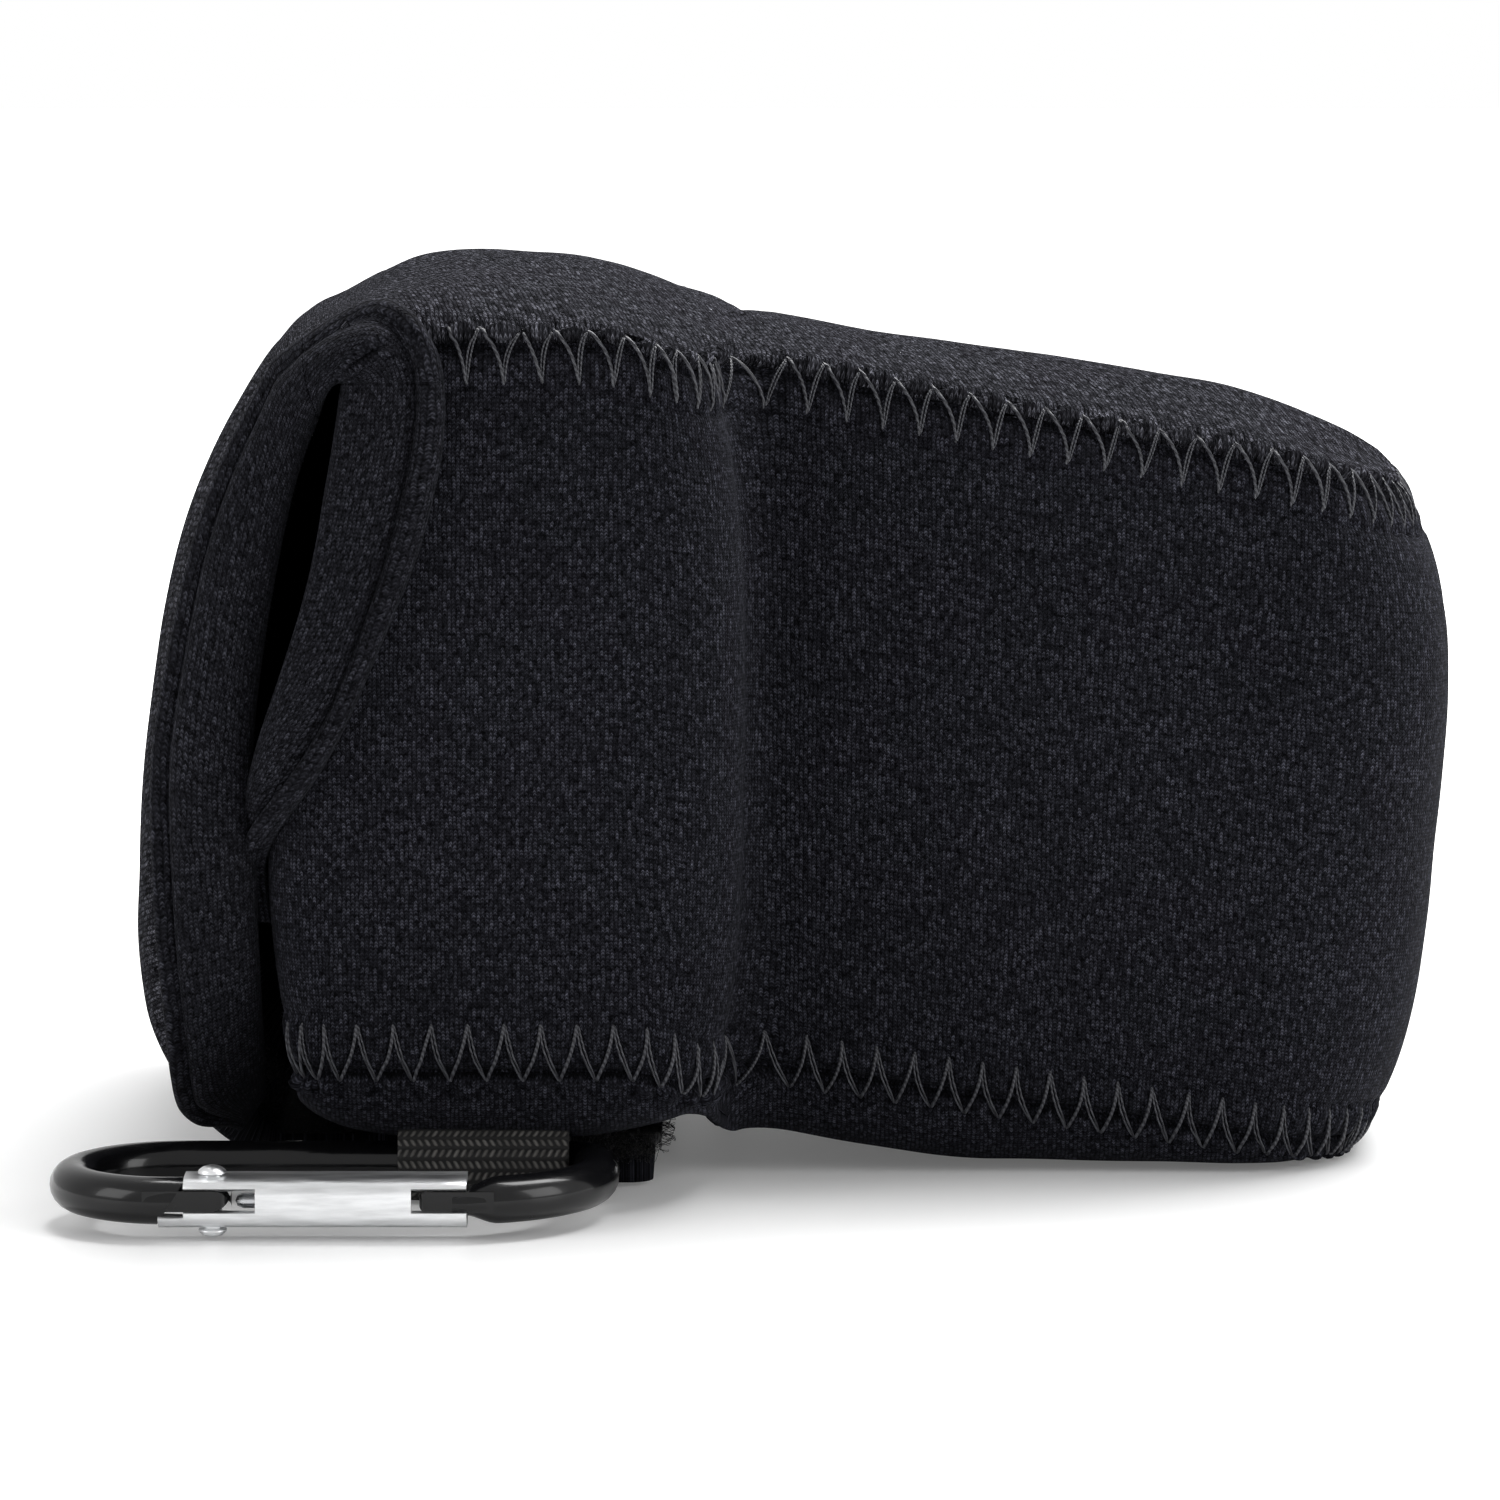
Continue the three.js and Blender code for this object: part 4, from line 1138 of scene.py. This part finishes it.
# The bar thins towards the catching tongue, and is cut on a slant at the rivet's end.
def ring_ends(mesh):
    for corner in mesh.verts:
        if corner.co.y < gate_y + 5 and -4 < corner.co.x < 3:
            slim = 1 - 0.42 * blend_in(-corner.co.x, -2.6, 1.4)
            corner.co.z = ring_level + (corner.co.z - ring_level) * slim
    cut_place, cut_way = Vector((-35.0, gate_y, ring_level)), Vector((1, 0, -0.62))
    end = []
    for face in mesh.faces:
        middle = face.calc_center_median()
        if middle.y < gate_y + 6 and middle.x < -20:
            end.append(face)
    edges = {edge for face in end for edge in face.edges}
    corners = {corner for face in end for corner in face.verts}
    bmesh.ops.bisect_plane(mesh, geom=[*end, *edges, *corners], plane_co=cut_place, plane_no=cut_way)
    gone = []
    for face in mesh.faces:
        middle = face.calc_center_median()
        if middle.y < gate_y + 5 and middle.x < -20 and (middle - cut_place).dot(cut_way) > 0.001:
            gone.append(face)
    bmesh.ops.delete(mesh, geom=gone, context="FACES")
    bmesh.ops.contextual_create(mesh, geom=[edge for edge in mesh.edges if len(edge.link_faces) == 1])
    tongue(mesh, -38.2, -28.0, 3.3, 5.7, 4.6, 2.28)
    tongue(mesh, 2.2, -6.4, 3.2, 5.6, 4.4, 0.85)


def gloss_coat():
    material, tree, shader = new_material("gloss_black_coat")
    place = add_node(tree, "TexCoord", {})
    speck = add_node(tree, "TexNoise", {"Vector": place.outputs["Object"], "Scale": 420, "Detail": 3})
    rough = add_node(tree, "MapRange", {"Value": speck.outputs["Fac"], "To Min": 0.12, "To Max": 0.34})
    join(tree, shader, {
        "Base Color": (0.003, 0.003, 0.0035, 1),
        "Roughness": rough.outputs["Result"],
        "Specular IOR Level": 0.22,
        "Coat Weight": 0.25,
        "Coat Roughness": 0.06,
    })
    fine_relief(tree, shader, speck.outputs["Fac"], 0.25, 0.00005)
    return material


reshaped(ring_bar, ring_ends)
dress(ring_bar, gloss_coat())
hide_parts("carabiner_ring")
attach(ring_bar, "ring")


# Gate: aluminium sheet bent to a channel that is open towards the ring. Its web is cut back at both
# ends, so that the tongues show between the two flanges. It is bare and lightly brushed.
gate_profile = [
    (-77.9, 7.2), (-80.4, 7.2), (-81.6, 7.12), (-82.5, 6.85), (-83.1, 6.4), (-83.3, 6.05), (-83.3, 5.1),
    (-83.3, 4.1), (-83.3, 3.2), (-83.12, 2.5), (-82.6, 1.8), (-81.7, 1.32), (-80.6, 1.2), (-77.9, 1.2),
]
gate_wall, gate_edge = 0.95, 0.16
gate_steps = [-36.4, -35.6, -33.45, -29.3, -25.2, -19, -13, -7.3, -4.0, -0.95]


def bent_channel():
    mesh = bmesh.new()
    corners = [mesh.verts.new((gate_steps[0], y, z)) for y, z in gate_profile]
    for a, b in zip(corners, corners[1:]):
        mesh.edges.new((a, b))
    line = mesh.edges[:]
    for x, next_x in zip(gate_steps, gate_steps[1:]):
        pulled = bmesh.ops.extrude_edge_only(mesh, edges=line)["geom"]
        moved = [part for part in pulled if isinstance(part, bmesh.types.BMVert)]
        line = [part for part in pulled if isinstance(part, bmesh.types.BMEdge)]
        bmesh.ops.translate(mesh, verts=moved, vec=(next_x - x, 0, 0))
    gone = []
    for face in mesh.faces:
        middle = face.calc_center_median()
        web = 3.0 < middle.z < 6.1
        if web and not -25.2 < middle.x < -7.3 or middle.x < -33.5 and middle.z > 2.6:
            gone.append(face)
    bmesh.ops.delete(mesh, geom=gone, context="FACES")
    bmesh.ops.recalc_face_normals(mesh, faces=mesh.faces)
    if sum(face.normal.y for face in mesh.faces if -20 < face.calc_center_median().x < -12) > 0:
        bmesh.ops.reverse_faces(mesh, faces=mesh.faces)
    bmesh.ops.scale(mesh, verts=mesh.verts, vec=(mm, mm, mm))
    channel = put_down(mesh, "gate_channel")
    sheet = channel.modifiers.new("sheet", "SOLIDIFY")
    sheet.thickness = gate_wall * mm
    sheet.offset = -1
    edge = channel.modifiers.new("edge", "BEVEL")
    edge.width = gate_edge * mm
    edge.segments = 2
    edge.limit_method = "ANGLE"
    edge.angle_limit = math.radians(50)
    finish_shape(channel)
    return channel


def brushed_metal(name, colour, rough, scale):
    material, tree, shader = new_material(name)
    place = add_node(tree, "TexCoord", {})
    stretch = add_node(tree, "Mapping", {"Vector": place.outputs["Object"], "Scale": (0.12, 1, 1)})
    drawn = {"Vector": stretch.outputs["Vector"], "Scale": scale, "Detail": 6}
    grain = add_node(tree, "TexNoise", drawn).outputs["Fac"]
    tone = tones(tree, grain, [c * 0.8 for c in colour], colour, 0.3, 0.65)
    spread = add_node(tree, "MapRange", {"Value": grain, "To Min": rough * 0.7, "To Max": rough * 1.3})
    join(tree, shader, {"Base Color": tone, "Metallic": 1, "Roughness": spread.outputs["Result"]})
    fine_relief(tree, shader, grain, 0.5, 0.00008)
    return material


bare_aluminium = brushed_metal("bare_aluminium", (0.9, 0.91, 0.92), 0.34, 1600)
gate_channel = bent_channel()
dress(gate_channel, bare_aluminium)
for face in gate_channel.data.polygons:
    face.use_smooth = True
gate_channel.data.set_sharp_from_angle(angle=sharp_angle)
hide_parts("carabiner_gate")
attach(gate_channel, "gate")


# Rivet: a round pin with a domed head above and below, closed through the gate and the tongue.
rivet_x = -30.25
rivet_half = [
    (0, 4.2), (0.55, 4.14), (1.1, 3.96), (1.5, 3.66), (1.68, 3.4), (1.6, 3.22), (1.15, 3.12),
    (1.1, 3.0), (1.1, 0),
]


def domed_rivet():
    mesh = bmesh.new()
    down = [(radius, -height) for radius, height in reversed(rivet_half[:-1])]
    corners = []
    for radius, height in rivet_half + down:
        corners.append(mesh.verts.new((radius + rivet_x, gate_y, ring_level + height)))
    for a, b in zip(corners, corners[1:]):
        mesh.edges.new((a, b))
    profile = mesh.verts[:] + mesh.edges[:]
    middle = (rivet_x, gate_y, 0)
    bmesh.ops.spin(
        mesh, geom=profile, cent=middle, axis=(0, 0, 1), angle=2 * math.pi, steps=36, use_merge=True,
    )
    bmesh.ops.remove_doubles(mesh, verts=mesh.verts, dist=0.0005)
    bmesh.ops.recalc_face_normals(mesh, faces=mesh.faces)
    for face in mesh.faces:
        face.smooth = True
    bmesh.ops.scale(mesh, verts=mesh.verts, vec=(mm, mm, mm))
    return put_down(mesh, "domed_rivet")


rivet = domed_rivet()
dress(rivet, bare_aluminium)
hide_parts("gate_pin")
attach(rivet, "ring")


# Closing spring: a wire coil in the gate's channel pushes a small plunger on to the tongue's end,
# and a pressed-in stop holds its other end. All three are bright drawn steel.
drawn_steel = brushed_metal("drawn_steel", (0.6, 0.61, 0.63), 0.28, 2600)
for node in ("gate_plunger", "gate_spring", "spring_seat"):
    small = bpy.data.objects[node]
    for slot in small.material_slots:
        slot.material = drawn_steel
